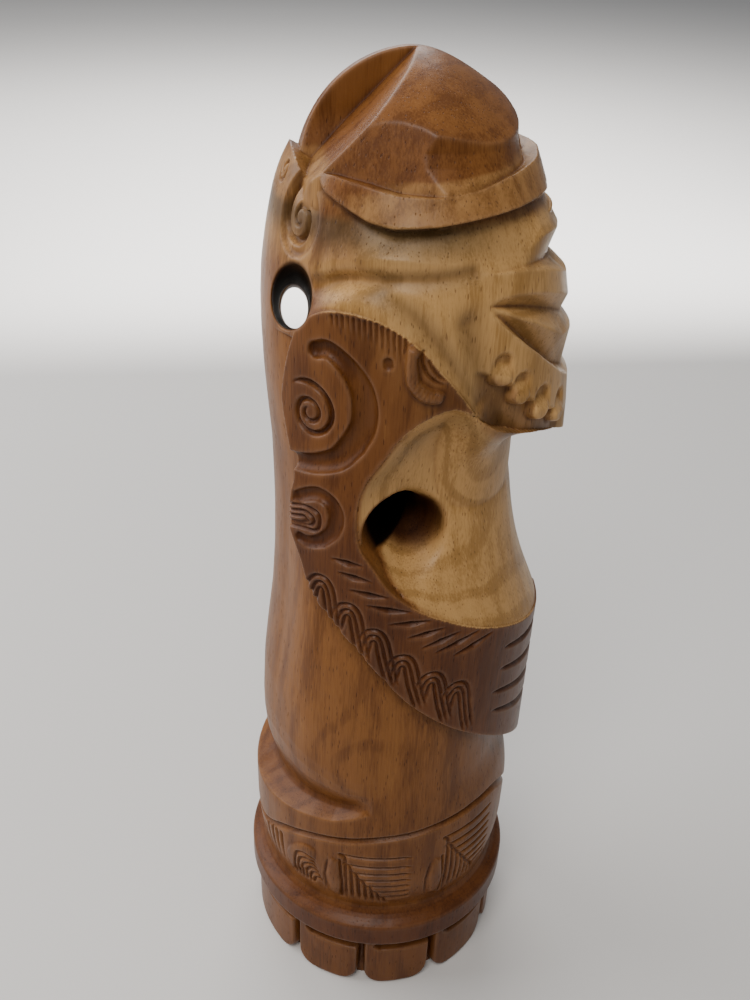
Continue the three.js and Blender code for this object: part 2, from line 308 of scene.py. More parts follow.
# The scooped ledge round the back, behind a lip that the collar's wall rises to. Its section is given as the
# share of its depth at a distance above the lip, and it narrows towards its tip at the side.
LEDGE_LIP = [
    (105, 109), (112, 105), (120, 101.6), (130, 99.6), (141, 96.8), (157, 93.6), (170, 92), (180, 91.4),
]
LEDGE_DEPTH = [
    (103, 0), (104.5, 1), (108, 2.6), (112, 4), (120, 5.6), (130, 6.4), (141, 7.4), (157, 8.3), (180, 8.6),
]
LEDGE_WIDTH = [(104, 0.4), (112, 0.5), (120, 0.62), (130, 0.74), (145, 0.9), (160, 1)]
LEDGE_SECTION = [
    (0, 0), (0.4, 0.1), (3.6, 0.7), (5.2, 0.94), (6.6, 1), (9.5, 0.97), (14, 0.76), (20, 0.44), (26, 0.2),
    (34, 0.06), (42, 0),
]
past_lip = (GZ - table(LEDGE_LIP, GA)) / table(LEDGE_WIDTH, GA)
trunk -= blur(table(LEDGE_DEPTH, GA) * table(LEDGE_SECTION, past_lip), 0.25, 0)

# The flange and the cove on top of it.
FLANGE_FOOT, FLANGE_TOP = 30.6, 50.5
FLANGE = [
    (30.6, 57), (31.3, 59.3), (32.5, 60), (42, 60), (43, 59.6), (44, 58.3), (45, 56.6), (46.5, 54.9),
    (48.5, 53.9), (50.5, 53.7),
]
flange = np.interp(HEIGHTS, *zip(*FLANGE))[:, None]
trunk = np.where((GZ > FLANGE_FOOT) & (GZ < FLANGE_TOP), flange, trunk)

# Toe blocks: rounded below, parted by narrow slots, each undercut by a short level cut.
SLOTS = [0, 34, 71, 104.5, 137.5, 180]
SLOT_HALF, SLOT_FLARE = 0.9, 0.25  # half a slot's width, and what it gains towards the ground
TOE_R = 57.2
TOE_FLOOR = 51.5  # the radius at the bottom of the slots
TOE_HALF_HEIGHT = 15.2
TOE_SHOULDER = 1.7  # over which a block rounds off to its face
toes = np.full(GA.shape, -9.0)
for right, left in zip(SLOTS[:-1], SLOTS[1:]):
    middle = (left + right) / 2
    half = (left - right) / 2 - SLOT_HALF - SLOT_FLARE * (1 - ramp(0, 24, GZ))
    round_off = 8 * (1 - ramp(9, 18, GZ)) + 0.6
    across = np.abs(GA - middle) - half + round_off
    down = np.abs(GZ - TOE_HALF_HEIGHT) - TOE_HALF_HEIGHT + round_off
    corner = np.hypot(np.maximum(across, 0), np.maximum(down, 0))
    toes = np.maximum(toes, -(corner + np.minimum(np.maximum(across, down), 0) - round_off))
toe_radius = TOE_FLOOR + (TOE_R - TOE_FLOOR) * quarter_round(np.clip(toes / TOE_SHOULDER, 0, 1))
trunk = np.where(GZ <= FLANGE_FOOT, np.where(toes > 0, toe_radius, TOE_FLOOR), trunk)
for right, left in zip(SLOTS[:-1], SLOTS[1:]):
    gouge([(left - 5.5, 26.6), (right + 1.2, 26.6)], 5.4, 4.6, start=0.12, point=0.2)

# ------------------------------------------------------------------------------
# The arms, at full log radius, and the scooped chest
# ------------------------------------------------------------------------------
ARM_LOWER = [
    (3.5, 121), (12, 119), (20, 121.5), (36, 131), (58, 146), (68, 153), (77, 160), (86, 168), (93, 175),
    (105, 190), (113, 200), (122, 210), (129, 219), (133, 230), (137.5, 240), (138.5, 247),
]
SHOULDER_REAR = [(138, 255), (137, 262), (141, 272), (145, 285), (143.5, 297), (140, 308), (136.5, 316)]
SHOULDER_LINE = [
    (136.5, 315), (128, 320.2), (119, 321.8), (109, 320.5), (103, 318), (95, 312.6), (88, 305), (81, 297),
    (73, 287), (68, 283),
]
SCOOP_EDGE = [
    (68, 283), (72, 286), (77, 289.5), (84, 291.5), (93, 287.5), (100, 281), (105, 273), (109.5, 266),
    (112, 259), (112.5, 250), (111, 241), (106, 233), (100, 224), (90, 216), (79, 210), (67, 204), (50, 197),
    (34, 191.5), (20, 188.5), (10, 187.5), (3.5, 187.5),
]
arm_outline = np.vstack([flowing(side, 4) for side in (ARM_LOWER, SHOULDER_REAR, SHOULDER_LINE, SCOOP_EDGE)])
COARSE_A, COARSE_Z = np.meshgrid(np.arange(0, 181.0), np.arange(MAP_Z0, MAP_Z1 + 1))


def refined(coarse):
    """A map at full resolution from one with a step of 1."""
    rows, columns = (GZ - MAP_Z0).astype(int), GA.astype(int)
    fz, fa = GZ - MAP_Z0 - rows, GA - columns
    rows1, columns1 = np.minimum(rows + 1, coarse.shape[0] - 1), np.minimum(columns + 1, coarse.shape[1] - 1)
    top = mix(coarse[rows, columns], coarse[rows, columns1], fa)
    return mix(top, mix(coarse[rows1, columns], coarse[rows1, columns1], fa), fz)


arm_inside = refined(outline(arm_outline, COARSE_A, COARSE_Z))
shoulder = ramp(238, 286, GZ)  # the log draws in from the elbow to the shoulder
arm = LOG_R - 3.6 * shoulder - 0.5 * ramp(120, 140, GA) * ramp(180, 230, GZ)

# The belly draws in under the arm's lower edge.
outside_arm = np.maximum(-arm_inside, 0)
trunk -= 1.6 * bell(outside_arm, 5.0) * ramp(112, 122, GZ) * (1 - ramp(238, 250, GZ))

# The chest hollow falls away inwards from the scoop's edge, steeply at the back and gently at the front.
scoop_edge = flowing(SCOOP_EDGE, 4)
hollow_outline = np.vstack([scoop_edge, [(-8, 187.5), (-8, 330), (66, 330)]])
hollow = outline(hollow_outline, COARSE_A, COARSE_Z)
to_edge = np.full(COARSE_A.shape, np.inf)
for p, q in zip(scoop_edge[:-1], scoop_edge[1:]):
    to_edge = np.minimum(to_edge, distance_to_side(p, q, COARSE_A, COARSE_Z))
to_edge = refined(np.where(hollow > 0, to_edge, 0))
in_hollow = refined(hollow)
FALL = [(0, 38), (30, 36), (60, 26), (80, 19), (97, 16), (112, 12)]  # how far in the hollow gets deep
HOLLOW_DEPTH = [(0, 21), (30, 20.5), (60, 20.5), (97, 21.5), (112, 18)]
rim = LOG_R - 0.6 - 3.4 * shoulder
chest = rim - table(HOLLOW_DEPTH, GA) * (1 - np.exp(-((to_edge / table(FALL, GA)) ** 1.12)))

# ------------------------------------------------------------------------------
# The head: facets between lines that run round it, each line given as (angle, height, radius)
# ------------------------------------------------------------------------------
HEAD_LINES = {
    "brow_top": [
        (0, 362, 39.7), (20, 362, 39.7), (45, 361, 42.4), (60, 359.6, 44.8), (75, 356.6, 46), (90, 355, 46.8),
        (104, 355.2, 46.8), (117, 357, 46.4), (131, 358.4, 46), (143, 358.4, 45.4), (152, 357.4, 44.6),
        (162, 359.2, 42.2), (172, 360.8, 40.8), (180, 361, 40.2),
    ],
    "brow_edge": [
        (0, 352, 43.7), (20, 352, 43.7), (45, 352.5, 47.2), (60, 351.5, 49.6), (74, 350, 50.6),
        (90, 348, 51.2), (106, 346.8, 51.2), (115, 348.2, 50.4), (127, 352.2, 48.6), (137, 355.4, 47),
        (180, 356, 43.5),
    ],
    "under_brow": [
        (0, 348.5, 42.9), (20, 348.5, 42.9), (45, 350, 44), (60, 349.4, 45.2), (74, 348.2, 45.6),
        (90, 346.2, 45.8), (106, 345, 46), (115, 346.4, 46.2), (127, 350.4, 46), (137, 353.8, 45.6),
        (180, 355, 43.7),
    ],
    "nose": [
        (0, 339, 49), (20, 339, 48.9), (36, 341, 50), (45, 341.4, 50.6), (54, 338.4, 50.6), (72, 337, 51.2),
        (88, 337, 52), (101, 338, 52.4), (110, 338, 52.4), (122, 335.8, 52), (132, 330.8, 51.4),
        (180, 330, 49.4),
    ],
    "over_lip": [
        (0, 330, 45.7), (20, 330, 45.7), (36, 331.6, 47.8), (46, 333.2, 50), (57, 334.2, 52.4), (72, 334, 53),
        (83, 332.6, 52.4), (92, 332, 52.3), (112, 330.6, 52.4), (132, 325, 52), (180, 325, 50.2),
    ],
    "lip_top": [
        (0, 323, 53.7), (20, 324, 53.7), (32, 327.6, 53.7), (43, 330.6, 53.8), (50, 332, 54), (58, 333.2, 54),
        (72, 333.6, 53.4),
    ],
    "lip_edge": [
        (0, 315, 55.4), (20, 316.2, 55.4), (34, 320.8, 55.2), (46, 324, 55.1), (54, 325.7, 55),
        (62, 326.6, 54.9), (68, 326.4, 54.7), (72, 324.6, 54.4),
    ],
    "upper_wedge": [
        (0, 309.5, 53.2), (20, 310.1, 53.2), (35, 315.3, 51.4), (47, 318.5, 50.2), (54, 320.2, 50.2),
        (61, 321.6, 51), (68, 323, 52.6), (72, 324, 54.3),
    ],
    "tongue": [
        (0, 304, 57.7), (20, 304.8, 57.6), (33, 306.6, 57.2), (43, 311.2, 56.8), (51, 315.3, 56.4),
        (60, 318.9, 56), (66, 321.4, 55.4), (72, 323.7, 54.5),
    ],
    "lower_wedge": [
        (0, 290.6, 56), (20, 291, 56), (33, 295.6, 52.6), (45, 303.2, 51), (54, 309, 50.8), (61, 314, 51.4),
        (66, 317.6, 52.6), (70, 321, 54), (72, 323.4, 54.4),
    ],
    "jaw_top": [
        (0, 286.8, 59), (20, 287.3, 59), (33, 293.6, 58.6), (46, 301.8, 58.4), (51, 305.5, 58.2),
        (56, 309, 58), (61, 313, 57.6), (66, 317, 57), (70, 320.6, 55.8), (72, 323, 54.8),
    ],
    "cheek": [
        (0, 277, 59.9), (20, 277, 59.9), (45, 286, 59.2), (60, 288, 58.2), (66, 287, 57.8), (72, 293, 57.6),
        (78, 301, 57.5), (84, 309, 57.4), (91, 316, 57.1), (97, 322, 56.7), (103, 325.5, 56.3),
        (112, 328.5, 55.8), (120, 329.5, 55), (132, 323, 54), (180, 316, 50.8),
    ],
    "jaw_edge": [
        (0, 266.5, 60.3), (20, 267, 60.3), (45, 276, 59.3), (60, 280, 57.8), (66, 282, 57.2), (73, 287, 56.4),
        (81, 297, 56.2), (88, 305, 56), (95, 312.6, 56), (103, 318, 56), (109, 320.5, 56), (119, 321.8, 55.8),
        (128, 320.2, 55.2), (136, 315, 54.4), (145, 306, 52), (180, 306, 50.9),
    ],
}
MOUTH_LINES = ["lip_top", "lip_edge", "upper_wedge", "tongue", "lower_wedge", "jaw_top"]
MOUTH_CORNER = 72
LEAST_GAP = 0.3  # between the lines, mm


def head_radius():
    """The head's radius over the map, each line's height at every angle, and the radius at the brow's top."""
    names = list(HEAD_LINES)
    heights, radii = {}, {}
    for name in names:
        a, z, r = zip(*HEAD_LINES[name])
        heights[name], radii[name] = np.interp(ANGLES, a, z), np.interp(ANGLES, a, r)
    # Behind the mouth's corner its lines spread evenly over the cheek and leave no mark on it.
    behind = ramp(MOUTH_CORNER - 0.5, MOUTH_CORNER + 4, ANGLES)
    for i, name in enumerate(MOUTH_LINES):
        share = (i + 1) / (len(MOUTH_LINES) + 1)
        for lines in (heights, radii):
            even = mix(lines["over_lip"], lines["cheek"], share)
            lines[name] = mix(lines[name], even, behind)
    z = np.array([heights[n] for n in names])
    r = np.array([radii[n] for n in names])
    for i in range(1, len(names)):
        z[i] = np.minimum(z[i], z[i - 1] - LEAST_GAP)
    columns = [np.interp(HEIGHTS, z[::-1, j], r[::-1, j]) for j in range(len(ANGLES))]
    return np.array(columns).T, dict(zip(names, z)), r[0]


head, head_line_z, brow_top_r = head_radius()
brow_top_z, head_floor_z = head_line_z["brow_top"], head_line_z["jaw_edge"]
back_profile = blur(np.interp(HEIGHTS, *zip(*BACK)), 2.0, 0)[:, None]
head = mix(head, back_profile, ramp(133, 147, GA))
head = blur(head, 0.9, 1)
head = mix(head, blur(blur(head, 4, 1), 0.8, 0), ramp(76, 92, GA) * ramp(136, 126, GA) * ramp(342, 334, GZ))

# Soft valleys: behind the teeth from the mouth's corner to the jaw's underside, over the roll that sweeps
# down the cheek, and under the band that comes back from the nose.
JAW_VALLEY = curved((79, 318), (76, 308), (72, 298), (66, 287), (60, 279))
CHEEK_VALLEY = curved(
    (134, 322), (124, 328.5), (112, 328.5), (103, 325.5), (96, 320.5), (89, 313), (81, 303), (73, 292),
)
BAND_VALLEY = curved((134, 327), (120, 331), (104, 332), (90, 332.6), (78, 334))
soft_valleys = np.zeros(GA.shape)
for path, depth, width in [(JAW_VALLEY, 2.6, 4.6), (CHEEK_VALLEY, 1.9, 3.2), (BAND_VALLEY, 1.3, 2.4)]:
    window, distance, _ = along(path, 11)
    head[window] -= depth * bell(distance, width)
    soft_valleys[window] = np.maximum(soft_valleys[window], bell(distance, width + 1))

# ------------------------------------------------------------------------------
# Carved patterns, drawn as (angle, height)
# ------------------------------------------------------------------------------
FINE_LINE = (1.5, 1.3)  # width and depth of the narrow nested lines, mm

# Shoulder disc: a spiral, and the wide channel that wraps round it.
SPIRAL = volute((131.6, 285.4), 1.9, 11.6, 2.12, 90, -1)
gouge(SPIRAL, (1.6, 2.7), (1.5, 2.3), start=0.06, end=0.12, point=0.35)
ROUND_DISC = [
    (129.5, 307.5), (125, 308.6), (119.5, 305.5), (114.5, 300), (112, 293.5), (112, 285), (115, 278),
]
UNDER_DISC = [(115, 278), (120, 272), (127, 268.6), (134, 266.8), (140, 266)]
CHANNEL = np.vstack([curved(*ROUND_DISC)[:-1], curved(*UNDER_DISC)])
gouge(CHANNEL, (6, 7.4, 9, 9.2, 7.6, 5.8), (2.8, 3.4, 3.8, 3.4, 2.6), point=0.02)

# Upright nicks under the head, longer towards the front.
for i in range(14):
    a = 123.5 - i * 1.85
    top = np.interp(a, [97, 103, 109, 119, 128], [314.4, 317.6, 320, 321, 319.8]) - 0.4
    gouge([(a + 0.2, top), (a - 0.5, top - 3.4 - 0.62 * i)], 1.5, 1.0, end=0.9, point=0.8)

# The hooked bead in its sunk field, with nested grooves on its front.
FIELD = [
    (98, 315.5), (101.4, 313), (101.8, 306), (100.6, 299.5), (96, 294), (89.5, 293), (84, 295), (83.6, 298.6),
]
sunk(curved(*FIELD)[:-1].tolist() + [(88, 304.2), (94.4, 311.6)], 1.5, 1.0)
HOOK = curved(
    (96.4, 313.6), (97.6, 310), (97.4, 305.6), (96.4, 301.4), (93.2, 298), (89.6, 296.8), (86.4, 297.6),
)
bead(HOOK, (4.4, 4.2, 4.6, 5.2, 4.4), 2.6, start=0.06, end=0.08)
for t in np.linspace(0.42, 0.9, 9):
    p = HOOK[int(t * (len(HOOK) - 1))]
    gouge([(p[0] + 1.2, p[1] - 1.6), (p[0] - 0.8, p[1] + 1.6)], 0.7, 0.35, point=1)
gouge(curved((94, 311.6), (94, 308), (92.2, 304), (89, 301.4), (85.4, 300.2)), 1.6, 1.2, end=0.3)
gouge(curved((92, 308.6), (90.4, 305.6), (88, 303), (85.6, 302)), 1.5, 1.1, end=0.3)

# A dimple between the disc and the hook.
gouge([(104.8, 307.6), (104.6, 306.6)], 3.4, 1.2, point=0.1)

# The carved U behind the armpit: a wide channel bent round nested fine lines.
UPPER_BEND = [
    (137, 252), (132, 255.4), (126.4, 257.4), (121.6, 255.4), (119.4, 250.6), (120.6, 244.8), (124.6, 240.2),
]
BEND = np.vstack([curved(*UPPER_BEND)[:-1], curved((124.6, 240.2), (129.4, 238.2), (132.6, 238.6))])
gouge(BEND, (4.4, 5.4, 5.8, 5.4, 4.6), (1.6, 2.2, 2.4, 2.2, 1.8), start=0.05, point=0.05)
for top, side, low in [(251.4, 125.2, 243.4), (249.4, 127.4, 244.6), (247.4, 129.6, 245.2)]:
    middle = (top + low) / 2
    over = [(139, top - 2.2), (132, top), (side + 1.2, top - 0.6), (side, middle)]
    path = curved(*over, (side + 1.4, low + 0.4), (133, low - 0.6))
    gouge(np.vstack([path, [(139, low - 1.8)]]), *FINE_LINE, point=0.5)

# Slanting leaf cuts above the arm's lower edge.
for head_a, head_z, tail_a, tail_z in [
    (121, 235, 109, 234),
    (118.5, 230, 106, 228),
    (114.5, 223.5, 100, 222),
    (108.5, 218, 92, 216),
    (100.5, 210.5, 85, 212),
    (94, 204.5, 80, 208),
    (89, 199.5, 74, 205),
    (84, 196.8, 66, 203),
    (77, 194, 60, 199.5),
]:
    middle = ((head_a + tail_a) / 2, (head_z + tail_z) / 2 - 0.5)
    gouge(curved((head_a, head_z), middle, (tail_a, tail_z)), 3.0, 2.3, start=0.5, end=0.5, point=0.85)

# Nested arches along the lower edge, open downwards.
for crown_a, crown_z, slant in [
    (124.5, 226, 3),
    (114.5, 217, 4),
    (105, 207.4, 5),
    (94.6, 196.4, 5),
    (83.6, 187.4, 4.4),
    (73.4, 180.2, 3.4),
]:
    for inset in (0, 1.75, 3.4):
        half = 5 - inset
        top = crown_z - inset * 1.5
        drop = 25 - inset * 1.0
        legs = [
            (half + slant * 0.2, 9), (half * 0.94, 4), (half * 0.5, 0.8), (-half * 0.1, 0),
            (-half * 0.6, 1.2), (-half * 0.98, 5), (-half - slant * 0.3, 12), (-half - slant * 0.9, drop),
        ]
        path = curved(*[(crown_a + across, top - down) for across, down in legs])
        gouge(path, *FINE_LINE, start=0.12, end=0.12, point=0.5)

# Fingers: four tapering cuts that widen towards the front.
for rear_a, rear_z, front_z in [(53, 187.5, 181.5), (54, 177.5, 169), (57, 167.5, 156), (56, 157.5, 143)]:
    path = [(rear_a, rear_z), (38, (rear_z + front_z) / 2 - 1), (14, front_z - 2)]
    gouge(path, (1.4, 3.2, 4.2), (1.5, 2.6, 3.2), start=0.1, point=0.6)

# Teeth: drops that hang over a sunk ground along the jaw's edge. Each is given by its angle, the height
# of its top and of its round end's middle, and half its width.
GROUND_DEPTH = 3.2
TOOTH_TOP, TOOTH_END = -1.7, 0.9  # how far a drop is sunk at its top and stands out at its end
TEETH = [
    (66.6, 305.6, 300.6, 3.5), (58.6, 297.9, 293.2, 3.7), (47.8, 290, 285.4, 4.2), (34.5, 284.2, 279.6, 4.2),
]
ground = [
    (79, 305), (72, 303.2), (62.6, 298.6), (52.6, 290.8), (40.6, 283.6), (27, 278), (10, 274), (-2, 272),
    (-2, 258), (20, 260), (45, 269), (60, 273), (72, 282), (80, 292),
]
window = window_of(ground, 1)
a, z = GA[window], GZ[window]
under_teeth = ramp(0, 2.4, outline(ground, a, z)) * ramp(77, 66, a) * ramp(23, 33, a)
jaw_relief = np.zeros(GA.shape)
jaw_relief[window] -= GROUND_DEPTH * under_teeth
for a, top, middle, half in TEETH:
    window, distance, fraction = along([(a - 0.4, top), (a, middle)], 9)
    inside = half * (0.84 + 0.16 * fraction) - distance
    level = mix(TOOTH_TOP, TOOTH_END, fraction)
    jaw_relief[window] = mix(jaw_relief[window], level, quarter_round(np.clip(inside / 1.6, 0, 1)))
    edge = bell(inside + 0.2, 0.55)
    cuts[window] = np.maximum(cuts[window], 0.55 * edge * (1 - 0.75 * fraction))

# Ears: scrolls that the visor's two ends curl into, each in a sunk round ground.
EAR = (147.4, 343.4)
window, distance, _ = along([EAR, (EAR[0] + 0.1, EAR[1])], 13)
raised[window] -= 1.5 * ramp(12.4, 10.6, distance) - 0.9 * ramp(9.5, 2, distance)
EAR_LINE = volute(EAR, 1.5, 12.6, 1.72, 180, 1)
EAR_LINE = np.vstack([EAR_LINE, curved(tuple(EAR_LINE[-1]), (139.6, 355.2), (133, 353.6))[1:]])
gouge(EAR_LINE, (1.6, 2.2, 3.4, 5, 3.4), (1.4, 1.9, 2.6, 3, 1.6), start=0.06, end=0.1, point=0.4)

# A small scroll on the hump at the top of the back strip.
gouge(volute((168, 354.6), 0.9, 4.6, 1.5, 180, 1), (1.2, 2), (1.1, 1.6), start=0.06, end=0.15, point=0.4)

# Collar: a line cut right round, and panels of nested strokes below it.
RING_REAR = [
    (180, 69), (165, 70.5), (155, 75), (146, 81), (135, 86), (125, 89.5), (111, 93), (99, 96), (86, 98),
]
RING_FRONT = [(86, 98), (73, 100), (60, 101), (51, 101), (38, 99), (25, 92), (12, 82), (0, 74)]
RING = np.vstack([curved(*RING_REAR)[:-1], curved(*RING_FRONT)])
gouge(RING, 3.4, 2.5, point=0.45)
for rear_a, right_a, tops, floor in [
    (113.5, 84, (82.6, 77.4, 73, 69, 65, 61, 57), 53.5),
    (68, 40, (90, 84.6, 79.6, 74.8, 70, 65.4, 60.8), 54),
]:
    for i, top in enumerate(tops):
        corner = rear_a - i * 3.1
        bend = [(3.4, 0.6), (1, -0.5), (0, -3)] if i else [(2, 0.8), (0, -0.8), (-0.4, -4)]
        path = [(right_a, top + (1.2 if i else 1.8))] + [(corner + across, top + up) for across, up in bend]
        path.append((corner - (0.8 if i else 1), floor))
        gouge(path, 1.9, 1.5, start=0.08, end=0.1, point=0.55)
    cushion = [(2, 55), (1.4, 66), (2.6, 79), (6, 80.6), (8, 70), (7, 57)]
    pillow([(rear_a + across, z) for across, z in cushion], 0.9, 3)
    gouge([(rear_a + 1.2, 55), (rear_a + 0.9, 66), (rear_a + 2.2, 80)], 1.4, 1.4, point=0.6)
    path = [(rear_a + 8.4, 56), (rear_a + 9.2, 68), (rear_a + 7.4, 80)]
    gouge(path, 1.4, 1.0, start=0.2, end=0.2, point=0.7)

# Behind them, curved strokes on a cushion, and upright nicks that shorten towards the back.
CUSHION = [(141, 58), (143.6, 66), (141, 74), (134, 80.4), (127.6, 80.6), (128, 74), (132, 64)]
pillow(curved(*CUSHION)[:-1].tolist(), 0.8, 2.5)
for i in range(6):
    top = 75 - i * 2.6
    path = [
        (139 - i * 2.2, 55 + i * 0.4), (137.6 - i * 1.8, top - 4), (134 - i * 1.4, top),
        (129.6 - i, top + 0.4),
    ]
    gouge(curved(*path, (126.4 - i * 0.5, top - 1.6)), *FINE_LINE, start=0.1, end=0.2, point=0.55)
for a, top in [(172, 61), (165, 65.5), (160, 69.5), (155.4, 72.6), (151.4, 74), (147.6, 75.4)]:
    gouge([(a, top), (a - 0.8, 60.5), (a - 1.2, 56)], (2.4, 1.4), 1.4, end=0.6, point=0.6)

# ------------------------------------------------------------------------------
# Joining the parts of the solid
# ------------------------------------------------------------------------------
# The throat swells into the jaw's underside.
below_jaw = np.maximum(head_floor_z[None, :] - GZ, 0)
fillet_height = 7.5 + 10 * ramp(40, 66, GA)
fillet_radius = 58.5 - 2.2 * ramp(48, 70, GA)
swell = np.clip(1 - below_jaw / fillet_height, 0, 1) ** 2.6 * (1 - ramp(68, 82, GA))
chest = chest + (fillet_radius - chest) * swell * (below_jaw > 0)
trunk = np.where(in_hollow > 0, chest, trunk)

# Inside the head the trunk draws in, so that only the head's own surface shows.
TRUNK_TOP = 345.0
trunk = np.where((GZ > head_floor_z[None, :]) & (GA > 60) & (GA < 150), np.minimum(trunk, 46), trunk)
trunk = np.where((GZ > TRUNK_TOP - 5) & (GA > 120), np.minimum(trunk, 36), trunk)

raised = soften(raised, 0.25)
jaw_relief = soften(jaw_relief, 0.25)
cuts = soften(cuts, 0.2)
trunk_map = Relief(trunk - cuts + raised)
arm_map = Relief(arm - cuts + raised)
arm_inside_map = Relief(arm_inside)
head_map = Relief(head - cuts + raised + jaw_relief)
hollow_map = Relief(in_hollow)


def smooth_max(a, b, k):
    """The larger of two fields, with their crease rounded over k millimetres."""
    h = np.clip(0.5 + 0.5 * (a - b) / k, 0, 1)
    return mix(b, a, h) + k * h * (1 - h)


CHEST_HOLE_Y, CHEST_HOLE_Z, CHEST_HOLE_R = 9.5, 244.8, 10.5
CHEST_HOLE_REACH = 30.0  # beyond this distance from its middle the hole has no effect
FUNNEL_Y, FUNNEL_Z, FUNNEL_APEX, FUNNEL_SPREAD = 0.5, 241.0, 22.0, 0.6  # the lead-in on its front side
NECK_HOLE_X, NECK_HOLE_RUN = -28, 54  # its sizes are given here, and change towards the figure's left
NECK_HOLE_Y, NECK_HOLE_Z, NECK_HOLE_HALF = 42.2, 319.5, 11.2
NECK_HOLE_SHIFT, NECK_HOLE_DROP, NECK_HOLE_LOSS, NECK_HOLE_ASPECT = 4.6, 23, 2.2, 0.6
CROWN_FOOT = 346.0
CROWN_Z, CROWN_R = 352.0, 38.2
CREST_HALF = 2.6
DOME_WIDE = [
    (350, 48.5), (356, 46.2), (359, 43.8), (362, 41.6), (366, 39.9), (370, 39.5), (378, 38.2), (392, 35),
]
DOME_DEEP = [
    (350, 39), (356, 37), (361, 35.4), (363.6, 34.4), (366.7, 33.8), (372.8, 33.3), (376, 32.8), (392, 29),
]
DOME_Y, DOME_REAR = 2.3, 39.5  # the middle of the crown's plan, and its depth behind that
DOME_POWER = 2.4  # 2 would make the plan an ellipse, and more makes it squarer
CAP_FALL, CAP_POWER, CAP_SLOPE = 0.0376, 1.7, 0.74
FACET_X, FACET_Y, FACET_Z, FACET_REACH = 0.867, 0.363, 0.341, 160.8  # the flat cut low on each side
FAR = 99.0  # a distance well outside the wood
BACK_CUT = 391.3  # y + z on the crown's rear slope


def crown_radius(y):
    """The crest's arc, a little flatter in front."""
    return CROWN_R - 2.1 * ramp(-4, 18, -y)


def dome_field(ax, y, z, brow):
    """The crown each side of the crest: steep sides, a low cap over them, and a slope cut away at the
    back."""
    wide = table(DOME_WIDE, z)
    deep = np.where(y > DOME_Y, DOME_REAR, table(DOME_DEEP, z))
    section = ((ax / wide) ** DOME_POWER + (np.abs(y - DOME_Y) / deep) ** DOME_POWER) ** (1 / DOME_POWER)
    arc = crown_radius(y) + 1.3 * ramp(19, 31, -y)
    ridge = CROWN_Z + np.sqrt(np.maximum(arc**2 - y * y, 0))
    cap = (z - ridge + CAP_FALL * ax**CAP_POWER) * CAP_SLOPE
    facet = FACET_X * ax + FACET_Y * y + FACET_Z * z - FACET_REACH
    cap = smooth_max(cap, facet, 0.4)
    back = (y + z - BACK_CUT) * 0.7071
    foot = np.hypot(ax, y) - brow + 0.35
    return np.maximum(smooth_max(smooth_max((section - 1) * 40, cap, 0.25), back, 0.5), foot)


def crest_field(ax, y, z):
    """The half-round crest, which thickens down the back."""
    half = np.where(y > 0, CREST_HALF + 4.5 * ramp(372, 352, z), CREST_HALF)
    return smooth_max(np.hypot(y, z - CROWN_Z) - crown_radius(y), ax - half, 0.9)


def neck_hole_field(x, y, z):
    """A bore between the neck and the back strip. It drops towards the figure's left and is wider on its
    right."""
    share = np.clip((x - NECK_HOLE_X) / NECK_HOLE_RUN, -0.6, 1.6)
    cy, cz = NECK_HOLE_Y - NECK_HOLE_SHIFT * share, NECK_HOLE_Z - NECK_HOLE_DROP * share
    half = NECK_HOLE_HALF - NECK_HOLE_LOSS * share
    return np.hypot((y - cy) / NECK_HOLE_ASPECT, z - cz) - half


def field(x, y, z):
    """Negative inside the wood, positive outside, and near the surface about the distance in millimetres."""
    r = np.hypot(x, y)
    ax = np.abs(x)
    a = np.degrees(np.arctan2(ax, -y))
    u, v = map_place(a, z)
    solid = r - trunk_map(u, v)
    solid = np.where(z > 300, np.maximum(solid, z - TRUNK_TOP), solid)
    bore = CHEST_HOLE_R - np.hypot(y - CHEST_HOLE_Y, z - CHEST_HOLE_Z)
    near = (np.abs(z - CHEST_HOLE_Z) < CHEST_HOLE_REACH) & (np.abs(y - CHEST_HOLE_Y) < CHEST_HOLE_REACH)
    solid = np.where(near, smooth_max(solid, bore, 1.5 + 6 * ramp(14, 0, y)), solid)
    funnel = (ax - FUNNEL_APEX) * FUNNEL_SPREAD - np.hypot(y - FUNNEL_Y, z - FUNNEL_Z)
    solid = np.where(near & (ax > FUNNEL_APEX), smooth_max(solid, funnel * 0.85, 3), solid)
    arms = smooth_max(r - arm_map(u, v), -arm_inside_map(u, v), 0.5)
    solid = np.minimum(solid, arms)
    column = np.clip((a / STEP).astype(np.int32), 0, len(ANGLES) - 1)
    fall = 0.45 - 0.37 * ramp(50, 80, a) + 0.72 * ramp(134, 146, a) * (1 - 0.45 * ramp(156, 170, a))
    top = brow_top_z[column] - fall * np.maximum(brow_top_r[column] - r, 0)
    skull = np.maximum(np.maximum(r - head_map(u, v), head_floor_z[column] - z), z - top)
    solid = np.minimum(solid, skull)
    crown = z > CROWN_FOOT
    dome = np.where(crown, dome_field(ax, y, z, brow_top_r[column]), FAR)
    crest = np.where(crown, crest_field(ax, y, z), FAR)
    solid = np.minimum(np.minimum(solid, dome), crest)
    solid = smooth_max(solid, -neck_hole_field(x, y, z), 1.2)
    return np.maximum(solid, -z)


# ------------------------------------------------------------------------------
# From the field to a mesh: one vertex in each grid cell that the surface crosses, and a face across each
# crossed grid edge. Only blocks near the surface are looked at.
# ------------------------------------------------------------------------------
GRID_LOW = np.array([-66.0, -66.0, -4.0])
GRID_SIZE = np.ceil(np.array([132.0, 132.0, 400.0]) / (CELL * BLOCK)).astype(int)


